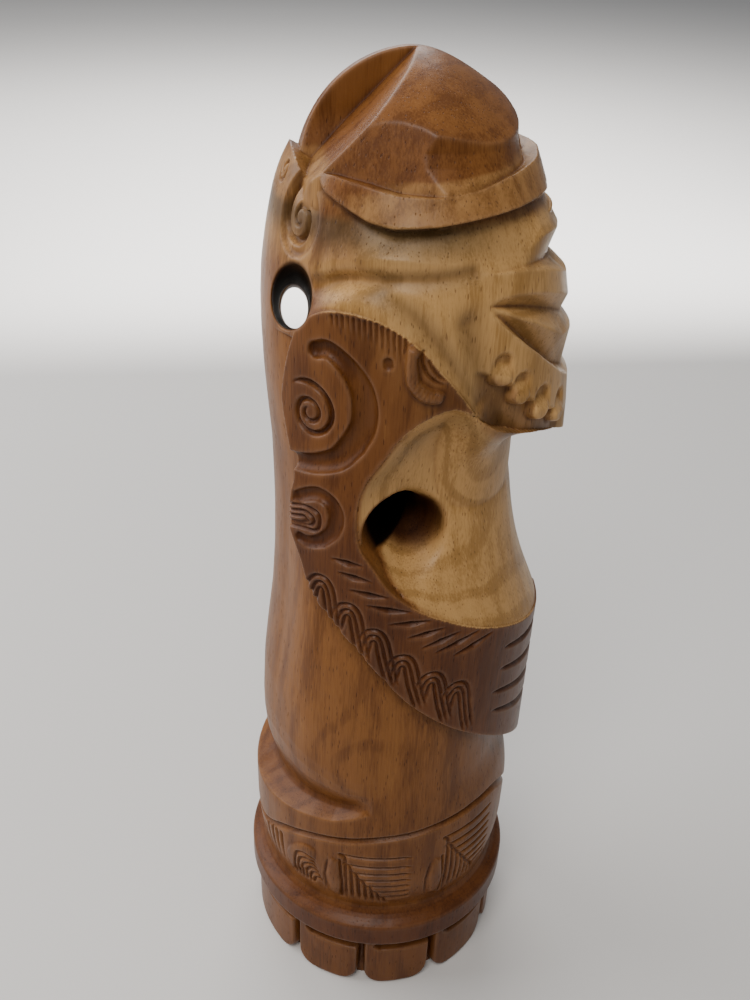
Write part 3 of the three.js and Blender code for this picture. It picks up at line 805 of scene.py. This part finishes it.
def blocks_near_surface():
    """The blocks of grid cells that the surface may pass through."""
    step = CELL * BLOCK / 2
    counts = GRID_SIZE * 2 + 1
    axes = [GRID_LOW[i] + np.arange(counts[i]) * step for i in range(3)]
    values = np.empty(counts)
    for i, x in enumerate(axes[0]):
        y, z = np.meshgrid(axes[1], axes[2], indexing="ij")
        values[i] = field(np.full(y.shape, x), y, z)
    lowest = np.full(GRID_SIZE, np.inf)
    highest = np.full(GRID_SIZE, -np.inf)
    for first in np.ndindex(3, 3, 3):
        part = values[tuple(slice(f, f + 2 * size, 2) for f, size in zip(first, GRID_SIZE))]
        lowest, highest = np.minimum(lowest, part), np.maximum(highest, part)
    near = (lowest < step * 0.75) & (highest > -step * 0.75)
    return np.argwhere(near)


def sample_block(block):
    """The field at the grid points of a block, rounded and moved off zero so that no point lies on the
    surface."""
    index = np.arange(BLOCK + 1)
    x, y, z = np.meshgrid(*[GRID_LOW[i] + (block[i] * BLOCK + index) * CELL for i in range(3)], indexing="ij")
    return np.round(field(x, y, z), 5) + 5e-6


CORNERS = np.array([(i, j, k) for i in (0, 1) for j in (0, 1) for k in (0, 1)])
EDGES = [(p, q) for p in range(8) for q in range(p + 1, 8) if np.abs(CORNERS[p] - CORNERS[q]).sum() == 1]
STRIDE = np.array([1 << 22, 1 << 11, 1])  # packs a cell's three indices in one number


def surface_mesh():
    """The surface as points in millimetres and four-sided faces."""
    cells, cell_values, edges = [], [], [[], [], []]
    for block in blocks_near_surface():
        values = sample_block(block)
        solid = values < 0
        if solid.all() or not solid.any():
            continue
        n = BLOCK
        count = sum(solid[i : i + n, j : j + n, k : k + n].astype(np.int8) for i, j, k in CORNERS)
        crossed = np.argwhere((count > 0) & (count < 8))
        cells.append(crossed + block * n)
        cell_values.append(np.stack([values[tuple((crossed + c).T)] for c in CORNERS], axis=1))
        inner = solid[:n, :n, :n]
        for axis, other in enumerate((solid[1:, :n, :n], solid[:n, 1:, :n], solid[:n, :n, 1:])):
            at = np.argwhere(inner != other)
            edges[axis].append(np.column_stack([at + block * n, inner[tuple(at.T)]]))
    cells, cell_values = np.concatenate(cells), np.concatenate(cell_values)
    total, weight = np.zeros((len(cells), 3)), np.zeros(len(cells))
    for p, q in EDGES:
        a, b = cell_values[:, p], cell_values[:, q]
        cross = (a < 0) != (b < 0)
        t = np.where(cross, a / np.where(cross, a - b, 1), 0)
        point = CORNERS[p] + t[:, None] * (CORNERS[q] - CORNERS[p])
        total += point * cross[:, None]
        weight += cross
    points = GRID_LOW + (cells + total / weight[:, None]) * CELL
    keys = cells @ STRIDE
    order = np.argsort(keys)
    keys, points = keys[order], points[order]
    faces = []
    for axis in range(3):
        at = np.concatenate(edges[axis])
        corner, starts_inside = at[:, :3], at[:, 3].astype(bool)
        u, v = np.eye(3, dtype=int)[(axis + 1) % 3], np.eye(3, dtype=int)[(axis + 2) % 3]
        ring = [corner - u - v, corner - v, corner, corner - u]
        quads = np.stack([np.searchsorted(keys, c @ STRIDE) for c in ring], axis=1)
        quads = np.where(starts_inside[:, None], quads, quads[:, ::-1])
        faces.append(quads)
    faces = np.concatenate(faces)
    return points, faces


def settle(points):
    """Moves each vertex onto the surface along the field's slope, by less than half a cell."""
    e = 0.12  # the step the slope is taken over, mm
    for _ in range(2):
        x, y, z = points.T
        value = field(x, y, z)
        slope = np.stack(
            [
                field(x + e, y, z) - field(x - e, y, z),
                field(x, y + e, z) - field(x, y - e, z),
                field(x, y, z + e) - field(x, y, z - e),
            ],
            axis=1,
        ) / (2 * e)
        size = np.maximum((slope**2).sum(1), 0.25)
        move = -(value / size)[:, None] * slope
        length = np.linalg.norm(move, axis=1)
        move *= np.minimum(1, 0.35 * CELL / np.maximum(length, 1e-9))[:, None]
        points = points + move
    return points


points, faces = surface_mesh()
points = settle(points)


# ------------------------------------------------------------------------------
# What the wood is like at each vertex: worn edges, dirt and painted shade in the cuts, pale sapwood, painted
# shade in the holes
# ------------------------------------------------------------------------------
def bend_of_surface(points, faces, normals, rounds):
    """How far each vertex lies below (positive) or above the smoothed surface round it, in millimetres."""
    ends = np.concatenate([faces[:, [i, (i + 1) % 4]] for i in range(4)])
    both = np.concatenate([ends, ends[:, ::-1]])
    count = np.bincount(both[:, 0], minlength=len(points))[:, None]
    smoothed = points
    for _ in range(rounds):
        sums = [np.bincount(both[:, 0], smoothed[both[:, 1], k], len(points)) for k in range(3)]
        smoothed = np.stack(sums, axis=1) / count
    return ((smoothed - points) * normals).sum(1)


def blank_mesh(name, points, faces):
    """A smooth-shaded mesh, in metres, still without a material."""
    mesh = bpy.data.meshes.new(name)
    mesh.vertices.add(len(points))
    mesh.vertices.foreach_set("co", (points * 0.001).astype(np.float32).ravel())
    mesh.loops.add(len(faces) * 4)
    mesh.loops.foreach_set("vertex_index", faces.astype(np.int32).ravel())
    mesh.polygons.add(len(faces))
    mesh.polygons.foreach_set("loop_start", np.arange(0, len(faces) * 4, 4, dtype=np.int32))
    mesh.polygons.foreach_set("use_smooth", np.ones(len(faces), bool))
    mesh.update()
    return mesh


whole = blank_mesh("whole", points, faces)
normals = np.empty(len(points) * 3, np.float32)
whole.vertex_normals.foreach_get("vector", normals)
normals = normals.reshape(-1, 3)
bpy.data.meshes.remove(whole)

px, py, pz = points.T
radius = np.hypot(px, py)
angle = np.degrees(np.arctan2(np.abs(px), -py))
bend = bend_of_surface(points, faces, normals, int(3 / CELL))
broad = bend_of_surface(points, faces, normals, int(14 / CELL))
# How far a vertex lies in a hollow. It darkens the colour, as oil and dirt in the cuts and as painted shade
# in concave places.
hollow = np.clip(bend / 0.28, 0, 1) * 0.65 + np.clip(broad / 1.1, 0, 1) * 0.35
edge = np.clip(-bend / 0.16, 0, 1)
column, row = map_place(angle, pz)

# The front of the upper half is pale sapwood, and so is all of the scooped chest but for the funnel of its
# hole. The visor is half pale, the top of the back strip is painted half pale as painted light where light
# falls on it from behind, and the crown is brown.
PALE_BACK = [
    (150, -75), (184, -40), (196, -20), (215, -2), (240, 10), (270, 10), (290, 8), (302, 16), (314, 28),
    (330, 36), (346, 33), (354, 28), (358, 10), (361, -20), (366, -34), (392, -60),
]
in_scoop = ramp(-0.5, 2.5, hollow_map(column, row)) * ramp(186, 189, pz) * ramp(300, 290, pz)
pale = ramp(-9, 9, table(PALE_BACK, pz) - py) * ramp(184, 196, pz)
pale = np.maximum(pale, in_scoop)
on_arm = (arm_inside_map(column, row) > 0.3) & (radius > 52) & (pz < 322)
pale *= np.where(on_arm, 0.25 * ramp(262, 290, pz), 1.0)
pale *= 1 - 0.55 * ramp(344.5, 348.5, pz)
# Painted light: the top of the back strip is made paler where it stands lit from behind.
pale = np.maximum(pale, 0.5 * ramp(318, 338, pz) * ramp(363, 359, pz) * ramp(128, 138, angle))
hole_reach = np.hypot(py - CHEST_HOLE_Y, pz - CHEST_HOLE_Z) - CHEST_HOLE_R
beside_hole = (np.abs(pz - CHEST_HOLE_Z) < 40) & (radius < 62)
in_funnel = ramp(2.5, -3.5, np.hypot(py - FUNNEL_Y, pz - FUNNEL_Z) - 11) * (radius < 50) * ramp(14, 8, py)
pale *= 1 - 0.9 * np.where(beside_hole, np.maximum(in_funnel, ramp(2.2, 0, hole_reach)), 0)

# Dark olive: dark olive heart mixed with painted shade under the visor and in the valleys along the cheek's
# roll and behind the teeth, and olive streaks in the chest.
olive_and_shade = ramp(334, 343, pz) * ramp(349, 345, pz) * ramp(48, 88, angle)
chest_streak = np.abs(pz - table([(60, 272), (80, 287), (95, 276), (112, 262)], angle))
olive_and_shade = np.maximum(olive_and_shade, 0.45 * ramp(9, 0, chest_streak) * in_scoop)
valley_depth = Relief(soft_valleys)(column, row)
olive_and_shade = np.maximum(olive_and_shade, 0.6 * valley_depth * (radius > 50) * ramp(120, 108, angle))

# Painted shade: the holes are painted black inside, where shade falls, and the funnel of the chest hole is
# painted darker. The chest hole's front wall catches some light, so less of it is black.
mouth_of_hole = mix(35, 54.5, ramp(3, 13, py + 0.6 * (CHEST_HOLE_Z - pz)))
in_bore = ramp(1.2, 0.4, hole_reach) * ramp(mouth_of_hole, mouth_of_hole - 9, radius) * (pz < 270)
in_neck = ramp(1.2, 0.2, np.abs(neck_hole_field(px, py, pz)) * 0.8) * ramp(52, 46, radius)
painted_hole_shade = np.maximum(in_bore, 0.8 * in_neck)
painted_hole_shade = np.maximum(painted_hole_shade, 0.6 * in_funnel * beside_hole * ramp(47, 40, radius))

# How much darker each place is, from 0 to about 1. The arms come first. Most patches are darker wood; on the
# flange's side and on the sunk ground under the teeth the darkening is painted shade.
on_crown = ramp(357, 359, pz)
beside_teeth = ramp(78, 68, angle) * ramp(20, 30, angle) * (radius < 58.3) * (radius > 48)
behind_cheek = ramp(110, 122, angle) * ramp(141, 134, angle) * ramp(330, 338, pz) * ramp(353, 348, pz)
above_lip = pz - table(LEDGE_LIP, angle)
stain_and_shade = np.where(on_arm, mix(0.6, 1.0, ramp(300, 235, pz)), 0.0)
for patch in (
    ramp(56, 44, pz) * mix(0.7, 1, ramp(29, 32, pz)),  # the foot
    0.42 * ramp(150, 98, pz),  # the belly's lower part and the collar
    # Painted shade on the flange's upright side.
    1.17 * ramp(29.5, 31, pz) * ramp(45, 42, pz),  # the flange's side
    0.42 * on_crown * ramp(375, 370, pz) * ramp(66, 84, angle),  # the crown's sides
    0.35 * on_crown * ramp(4, 16, py),  # the crown's back and the crest
    # Painted shade on the sunk ground under the teeth.
    0.75 * ramp(-0.5, 2.5, outline(ground, angle, pz)) * beside_teeth,  # the ground under the teeth
    0.3 * ramp(345, 348, pz) * ramp(360, 357, pz),  # the visor
    in_funnel * beside_hole,
    0.75 * behind_cheek,
    0.7 * ramp(0.3, 2, above_lip) * ramp(12, 7, above_lip) * ramp(103, 110, angle),  # the ledge
):
    stain_and_shade = np.maximum(stain_and_shade, patch)


# ------------------------------------------------------------------------------
# Zones: the surface is one skin, divided where the CAD's solids meet
# ------------------------------------------------------------------------------
COLLAR_TOP = [
    (0, 104), (60, 106), (104, 109.5), (112, 105.5), (120, 102), (130, 100), (141, 97.4), (157, 94.2),
    (180, 92),
]
NODES = [
    "foot_ring", "collar_band", "belly", "right_arm", "left_arm", "torso", "back_slab", "head", "jaw",
    "tongue", "visor", "crest", "right_dome", "left_dome",
]


FOOT_TOP = 48.6
SCOOP_FOOT = 186.0
STRIP_FOOT, STRIP_SIDE = 240.0, 128.0  # the back strip's lowest place and the angle it starts at
ARM_REACH, ARM_TOP = 51.0, 323.0  # an arm's surface stays outside this radius and below this height
HEAD_REAR, VISOR_REAR = 144.0, 138.0  # the angles at which they end
CREST_FOOT, DOME_FOOT = 354.0, 363.0


def zones(x, y, z):
    """The index of the zone that each place on the surface belongs to."""
    r = np.hypot(x, y)
    a = np.degrees(np.arctan2(np.abs(x), -y))
    u, v = map_place(a, z)
    at = np.clip((a / STEP).astype(int), 0, len(ANGLES) - 1)

    def line(name):
        return head_line_z[name][at]

    zone = np.full(len(x), NODES.index("belly"))

    def give(name, where):
        zone[where] = NODES.index(name)

    give("torso", (z > SCOOP_FOOT) & (hollow_map(u, v) > -1))
    give("back_slab", (z > STRIP_FOOT) & (a > STRIP_SIDE))
    give("collar_band", z < np.interp(a, *zip(*COLLAR_TOP)))
    give("foot_ring", z < FOOT_TOP)
    arm_here = (arm_inside_map(u, v) > -0.25) & (r > ARM_REACH) & (z < ARM_TOP)
    give("right_arm", arm_here & (x < 0))
    give("left_arm", arm_here & (x >= 0))
    in_head = (z > line("jaw_edge") - 0.2) & (a < HEAD_REAR)
    give("head", in_head)
    mouth = in_head & (a < MOUTH_CORNER)
    give("jaw", mouth & (z < line("lower_wedge")))
    give("tongue", mouth & (z > line("lower_wedge")) & (z < line("upper_wedge")))
    give("visor", (z > line("under_brow")) & (a < VISOR_REAR))
    top = line("brow_top") - 0.6
    on_crown = (z > top) & (r < brow_top_r[at] - 0.3) | (z > DOME_FOOT)
    give("right_dome", on_crown & (x < 0))
    give("left_dome", on_crown & (x >= 0))
    give("crest", (z > top) & (np.abs(x) < CREST_HALF + 0.3) & (z > CREST_FOOT))
    return zone


zone_of_face = zones(*points[faces].mean(1).T)


# ------------------------------------------------------------------------------
# The wood
# ------------------------------------------------------------------------------
class Nodes:
    """Builds a node tree: each call adds a node and returns its main output."""

    def __init__(self, tree):
        self.tree = tree

    def add(self, kind, inputs=(), output=0, **settings):
        made = self.tree.nodes.new(kind)
        for name, value in settings.items():
            setattr(made, name, value)
        for key, value in dict(inputs).items():
            if isinstance(value, bpy.types.NodeSocket):
                self.tree.links.new(value, made.inputs[key])
            else:
                made.inputs[key].default_value = value
        return made.outputs[output]

    def math(self, operation, a, b=0.0, clamp=False):
        return self.add("ShaderNodeMath", {0: a, 1: b}, operation=operation, use_clamp=clamp)

    def scaled(self, value, factor, offset=0.0):
        return self.add("ShaderNodeMath", {0: value, 1: factor, 2: offset}, operation="MULTIPLY_ADD")

    def vector(self, operation, a, b=(0, 0, 0), scale=1.0):
        value = operation in {"LENGTH", "DISTANCE", "DOT_PRODUCT"}
        inputs = {0: a, 1: b, 3: scale} if operation == "SCALE" else {0: a, 1: b}
        return self.add("ShaderNodeVectorMath", inputs, 1 if value else 0, operation=operation)

    def noise(self, place, detail=2.0, roughness=0.5, colour=False):
        inputs = {"Vector": place, "Scale": 1.0, "Detail": detail, "Roughness": roughness}
        return self.add("ShaderNodeTexNoise", inputs, 1 if colour else 0)

    def spread(self, value, low, high, to_low=0.0, to_high=1.0):
        inputs = {0: value, 1: low, 2: high, 3: to_low, 4: to_high}
        return self.add("ShaderNodeMapRange", inputs, interpolation_type="SMOOTHSTEP")

    def mix(self, kind, share, a, b):
        inputs = {0: share, 6: a, 7: b}
        return self.add("ShaderNodeMix", inputs, 2, data_type="RGBA", blend_type=kind)

    def ramp(self, value, stops):
        out = self.add("ShaderNodeValToRGB", {0: value})
        ramp_of = out.node.color_ramp
        ramp_of.interpolation = "EASE"
        while len(ramp_of.elements) < len(stops):
            ramp_of.elements.new(0.5)
        for element, (position, colour) in zip(ramp_of.elements, stops):
            element.position = position
            element.color = (*colour, 1)
        return out

    def attribute(self, name):
        return self.add("ShaderNodeAttribute", output=2, attribute_name=name)


PITH = (7.0, 13.0)
RING_WIDTH = 6.5
WAVE = 20.0  # how far the grain wanders, mm
SHINE = 0.17
KNOTS = [
    ((-53, 24, 134), 22, 9), ((-20, 45, 97), 5, 7), ((-52, 12, 303), 3.5, 5), ((-38, -22, 262), 17, 9),
    ((-14, -8, 388), 16, 8), ((50, 20, 140), 16, 13), ((34, -28, 268), 15, 9), ((-30, -50, 160), 10, 6),
]
HEARTWOOD = [
    (0.0, (0.044, 0.012, 0.003)), (0.35, (0.116, 0.038, 0.007)), (0.65, (0.195, 0.074, 0.017)),
    (1.0, (0.31, 0.14, 0.036)),
]
SAPWOOD = [
    (0.0, (0.11, 0.052, 0.014)), (0.35, (0.3, 0.155, 0.045)), (0.65, (0.46, 0.255, 0.09)),
    (1.0, (0.6, 0.37, 0.145)),
]


def growth_rings(n, place):
    """The place on the log, bent by slow waves, and the late-wood bands of the rings there."""
    slow = n.noise(n.vector("MULTIPLY", place, (0.02, 0.02, 0.011)), 1.5, colour=True)
    wave = n.vector("SCALE", n.vector("SUBTRACT", slow, (0.5, 0.5, 0.5)), scale=WAVE)
    bent = n.vector("ADD", place, wave)
    from_heart = n.vector("MULTIPLY", n.vector("SUBTRACT", bent, (*PITH, 0)), (1, 1, 0.05))
    ring_radius = n.vector("LENGTH", from_heart)
    for centre, size, strength in KNOTS:
        near = n.math("DIVIDE", n.vector("DISTANCE", bent, centre), size)
        falloff = n.math("POWER", 2.718, n.math("MULTIPLY", n.math("MULTIPLY", near, near), -1.0))
        ring_radius = n.math("ADD", ring_radius, n.math("MULTIPLY", falloff, strength))
    phase = n.math("SINE", n.math("MULTIPLY", ring_radius, 2 * math.pi / RING_WIDTH))
    return bent, n.spread(phase, 0.1, 1.0)


def open_pores(n, place):
    """Short dashes along the log, dots where it is cut across."""
    cells = n.vector("MULTIPLY", place, (1.05, 1.05, 0.17))
    dash = n.add("ShaderNodeTexVoronoi", {"Vector": cells, "Scale": 1.0}, feature="F1")
    chosen = n.add("ShaderNodeSeparateColor", {0: dash.node.outputs[1]})
    return n.math("MULTIPLY", n.spread(dash, 0.27, 0.12), n.spread(chosen, 0.45, 0.55))


def wood_colour(n, bent, late, fibre, pore):
    """Heartwood and sapwood, then what dark olive heart, stains, dirt, wear and oil do to them, with painted
    shade in the hollows, under the visor, on the flange's side, under the teeth and in the holes.
    """
    streak = n.noise(n.vector("MULTIPLY", bent, (0.17, 0.17, 0.014)), 3.0, 0.55)
    blotch = n.noise(n.vector("MULTIPLY", bent, (0.05, 0.05, 0.03)), 3.0, 0.55)
    tone = n.scaled(streak, 0.55, -0.2)
    tone = n.math("ADD", tone, n.scaled(blotch, 0.34))
    tone = n.math("ADD", tone, n.scaled(fibre, 0.62))
    tone = n.math("SUBTRACT", tone, n.scaled(late, 0.1))
    heart = n.ramp(tone, HEARTWOOD)
    sap = n.ramp(n.math("SUBTRACT", tone, n.scaled(late, 0.05)), SAPWOOD)
    share = n.math("ADD", n.attribute("pale"), n.scaled(streak, 0.4, -0.2))
    colour = n.mix("MIX", n.spread(share, 0.05, 0.95), heart, sap)
    # Dark olive heart, with painted shade under the visor and in the cheek's valleys.
    colour = n.mix("MULTIPLY", n.scaled(n.attribute("olive_and_shade"), 0.85), colour, (0.3, 0.33, 0.4, 1))
    # Darker wood, with painted shade on the flange's side and under the teeth.
    colour = n.mix("MULTIPLY", n.scaled(n.attribute("stain_and_shade"), 0.85), colour, (0.46, 0.34, 0.3, 1))
    colour = n.mix("MULTIPLY", n.scaled(pore, 0.7), colour, (0.36, 0.28, 0.24, 1))
    # Hollows: oil and dirt in the cuts, and painted shade.
    colour = n.mix("MULTIPLY", n.scaled(n.attribute("hollow"), 0.85), colour, (0.36, 0.24, 0.18, 1))
    colour = n.mix("SCREEN", n.scaled(n.attribute("edge"), 0.1), colour, (0.3, 0.2, 0.13, 1))
    # Painted shade: the holes are made black inside.
    return n.mix("MIX", n.attribute("painted_hole_shade"), colour, (0.004, 0.002, 0.0015, 1))


def wood():
    """Oiled hardwood: coarse brown heartwood and pale sapwood in one material."""
    material = bpy.data.materials.new("oiled_hardwood")
    material.use_nodes = True
    tree = material.node_tree
    n = Nodes(tree)
    place = n.vector("SCALE", n.add("ShaderNodeTexCoord", output=3), scale=1000.0)
    bent, late = growth_rings(n, place)
    fibre = n.noise(n.vector("MULTIPLY", place, (1.5, 1.5, 0.08)), 3.0, 0.65)
    pore = open_pores(n, place)

    rough = n.scaled(fibre, 0.16, 0.3)
    rough = n.math("ADD", rough, n.scaled(pore, 0.2))
    rough = n.math("ADD", rough, n.scaled(n.attribute("hollow"), 0.2))
    rough = n.math("ADD", rough, n.scaled(n.attribute("painted_hole_shade"), 0.4), clamp=True)

    strokes = n.noise(n.vector("MULTIPLY", place, (0.16, 0.16, 0.09)), 1.0)
    height = n.math("ADD", n.scaled(fibre, 0.3), n.scaled(strokes, 1.6))
    height = n.math("SUBTRACT", height, n.scaled(pore, 0.5))

    shader = tree.nodes["Principled BSDF"].inputs
    tree.links.new(wood_colour(n, bent, late, fibre, pore), shader["Base Color"])
    tree.links.new(rough, shader["Roughness"])
    tree.links.new(n.scaled(n.attribute("painted_hole_shade"), -SHINE + 0.01, SHINE), shader["Specular IOR Level"])
    bump = n.add("ShaderNodeBump", {"Strength": 0.5, "Distance": 0.0003, "Height": height})
    tree.links.new(bump, shader["Normal"])
    return material


oiled = wood()
traits = {"hollow": hollow, "edge": edge, "pale": pale, "olive_and_shade": olive_and_shade, "painted_hole_shade": painted_hole_shade, "stain_and_shade": stain_and_shade}
for index, node in enumerate(NODES):
    chosen = faces[zone_of_face == index]
    used, local = np.unique(chosen, return_inverse=True)
    mesh = blank_mesh("carved_" + node, points[used], local.reshape(-1, 4))
    for name, values in traits.items():
        layer = mesh.attributes.new(name, "FLOAT", "POINT")
        layer.data.foreach_set("value", values[used].astype(np.float32))
    mesh.normals_split_custom_set_from_vertices(normals[used])
    mesh.materials.append(oiled)
    piece = bpy.data.objects.new("carved_" + node, mesh)
    bpy.context.scene.collection.objects.link(piece)
    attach(piece, "root")
    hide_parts(node)

# ---- Stage, light and camera ----
FLOOR_HALF = 6.0
floor = bpy.data.meshes.new("floor")
corners = [(x * FLOOR_HALF, y * FLOOR_HALF, 0) for x, y in ((-1, -1), (1, -1), (1, 1), (-1, 1))]
floor.from_pydata(corners, [], [(0, 1, 2, 3)])
floor_object = bpy.data.objects.new("floor", floor)
bpy.context.scene.collection.objects.link(floor_object)
floor_paint = bpy.data.materials.new("pale")
floor_paint.use_nodes = True
floor_paint.node_tree.nodes["Principled BSDF"].inputs["Base Color"].default_value = (0.6, 0.565, 0.53, 1)
floor_paint.node_tree.nodes["Principled BSDF"].inputs["Roughness"].default_value = 0.9
floor.materials.append(floor_paint)

world = bpy.data.worlds.new("world")
bpy.context.scene.world = world
world.use_nodes = True
world.node_tree.nodes["Background"].inputs[0].default_value = (0.86, 0.92, 1, 1)
world.node_tree.nodes["Background"].inputs[1].default_value = 0.28


def area(name, place, target, size, power, colour):
    """A rectangular lamp at a place, aimed at a target."""
    light = bpy.data.lights.new(name, "AREA")
    light.shape = "RECTANGLE"
    light.size, light.size_y = size
    light.energy = power
    light.color = colour
    lamp = bpy.data.objects.new(name, light)
    bpy.context.scene.collection.objects.link(lamp)
    lamp.location = place
    lamp.rotation_euler = (Vector(target) - Vector(place)).to_track_quat("-Z", "Y").to_euler()


area("window", (0.5, 1.3, 1.0), (0, 0, 0.2), (1.4, 1.2), 27, (0.95, 0.975, 1))
area("backdrop", (1.7, 0.1, 1.5), (0.7, 0, 0), (1.6, 1.6), 34, (0.97, 0.985, 1))
area("far floor", (1.6, -0.3, 1.7), (4.6, -0.3, 0), (1.4, 3.5), 120, (0.97, 0.985, 1))
area("overhead", (-0.7, 0.3, 1.3), (0, 0, 0.3), (0.6, 0.6), 13, (1, 0.985, 0.96))

camera = bpy.data.cameras.new("camera")
camera.lens = 36
camera.sensor_width = 36
camera.clip_start = 0.01
camera_object = bpy.data.objects.new("camera", camera)
bpy.context.scene.collection.objects.link(camera_object)
bpy.context.scene.camera = camera_object
pitch, heading, lean = math.radians(30.99), math.atan2(-0.1564, 0.9877), math.radians(2.47)
forward = Vector((math.cos(heading) * math.cos(pitch), math.sin(heading) * math.cos(pitch), -math.sin(pitch)))
turn = forward.to_track_quat("-Z", "Y")
stand = Matrix.Translation((-0.3325, 0.0606, 0.4282))
camera_object.matrix_world = stand @ turn.to_matrix().to_4x4() @ Matrix.Rotation(lean, 4, "Z")
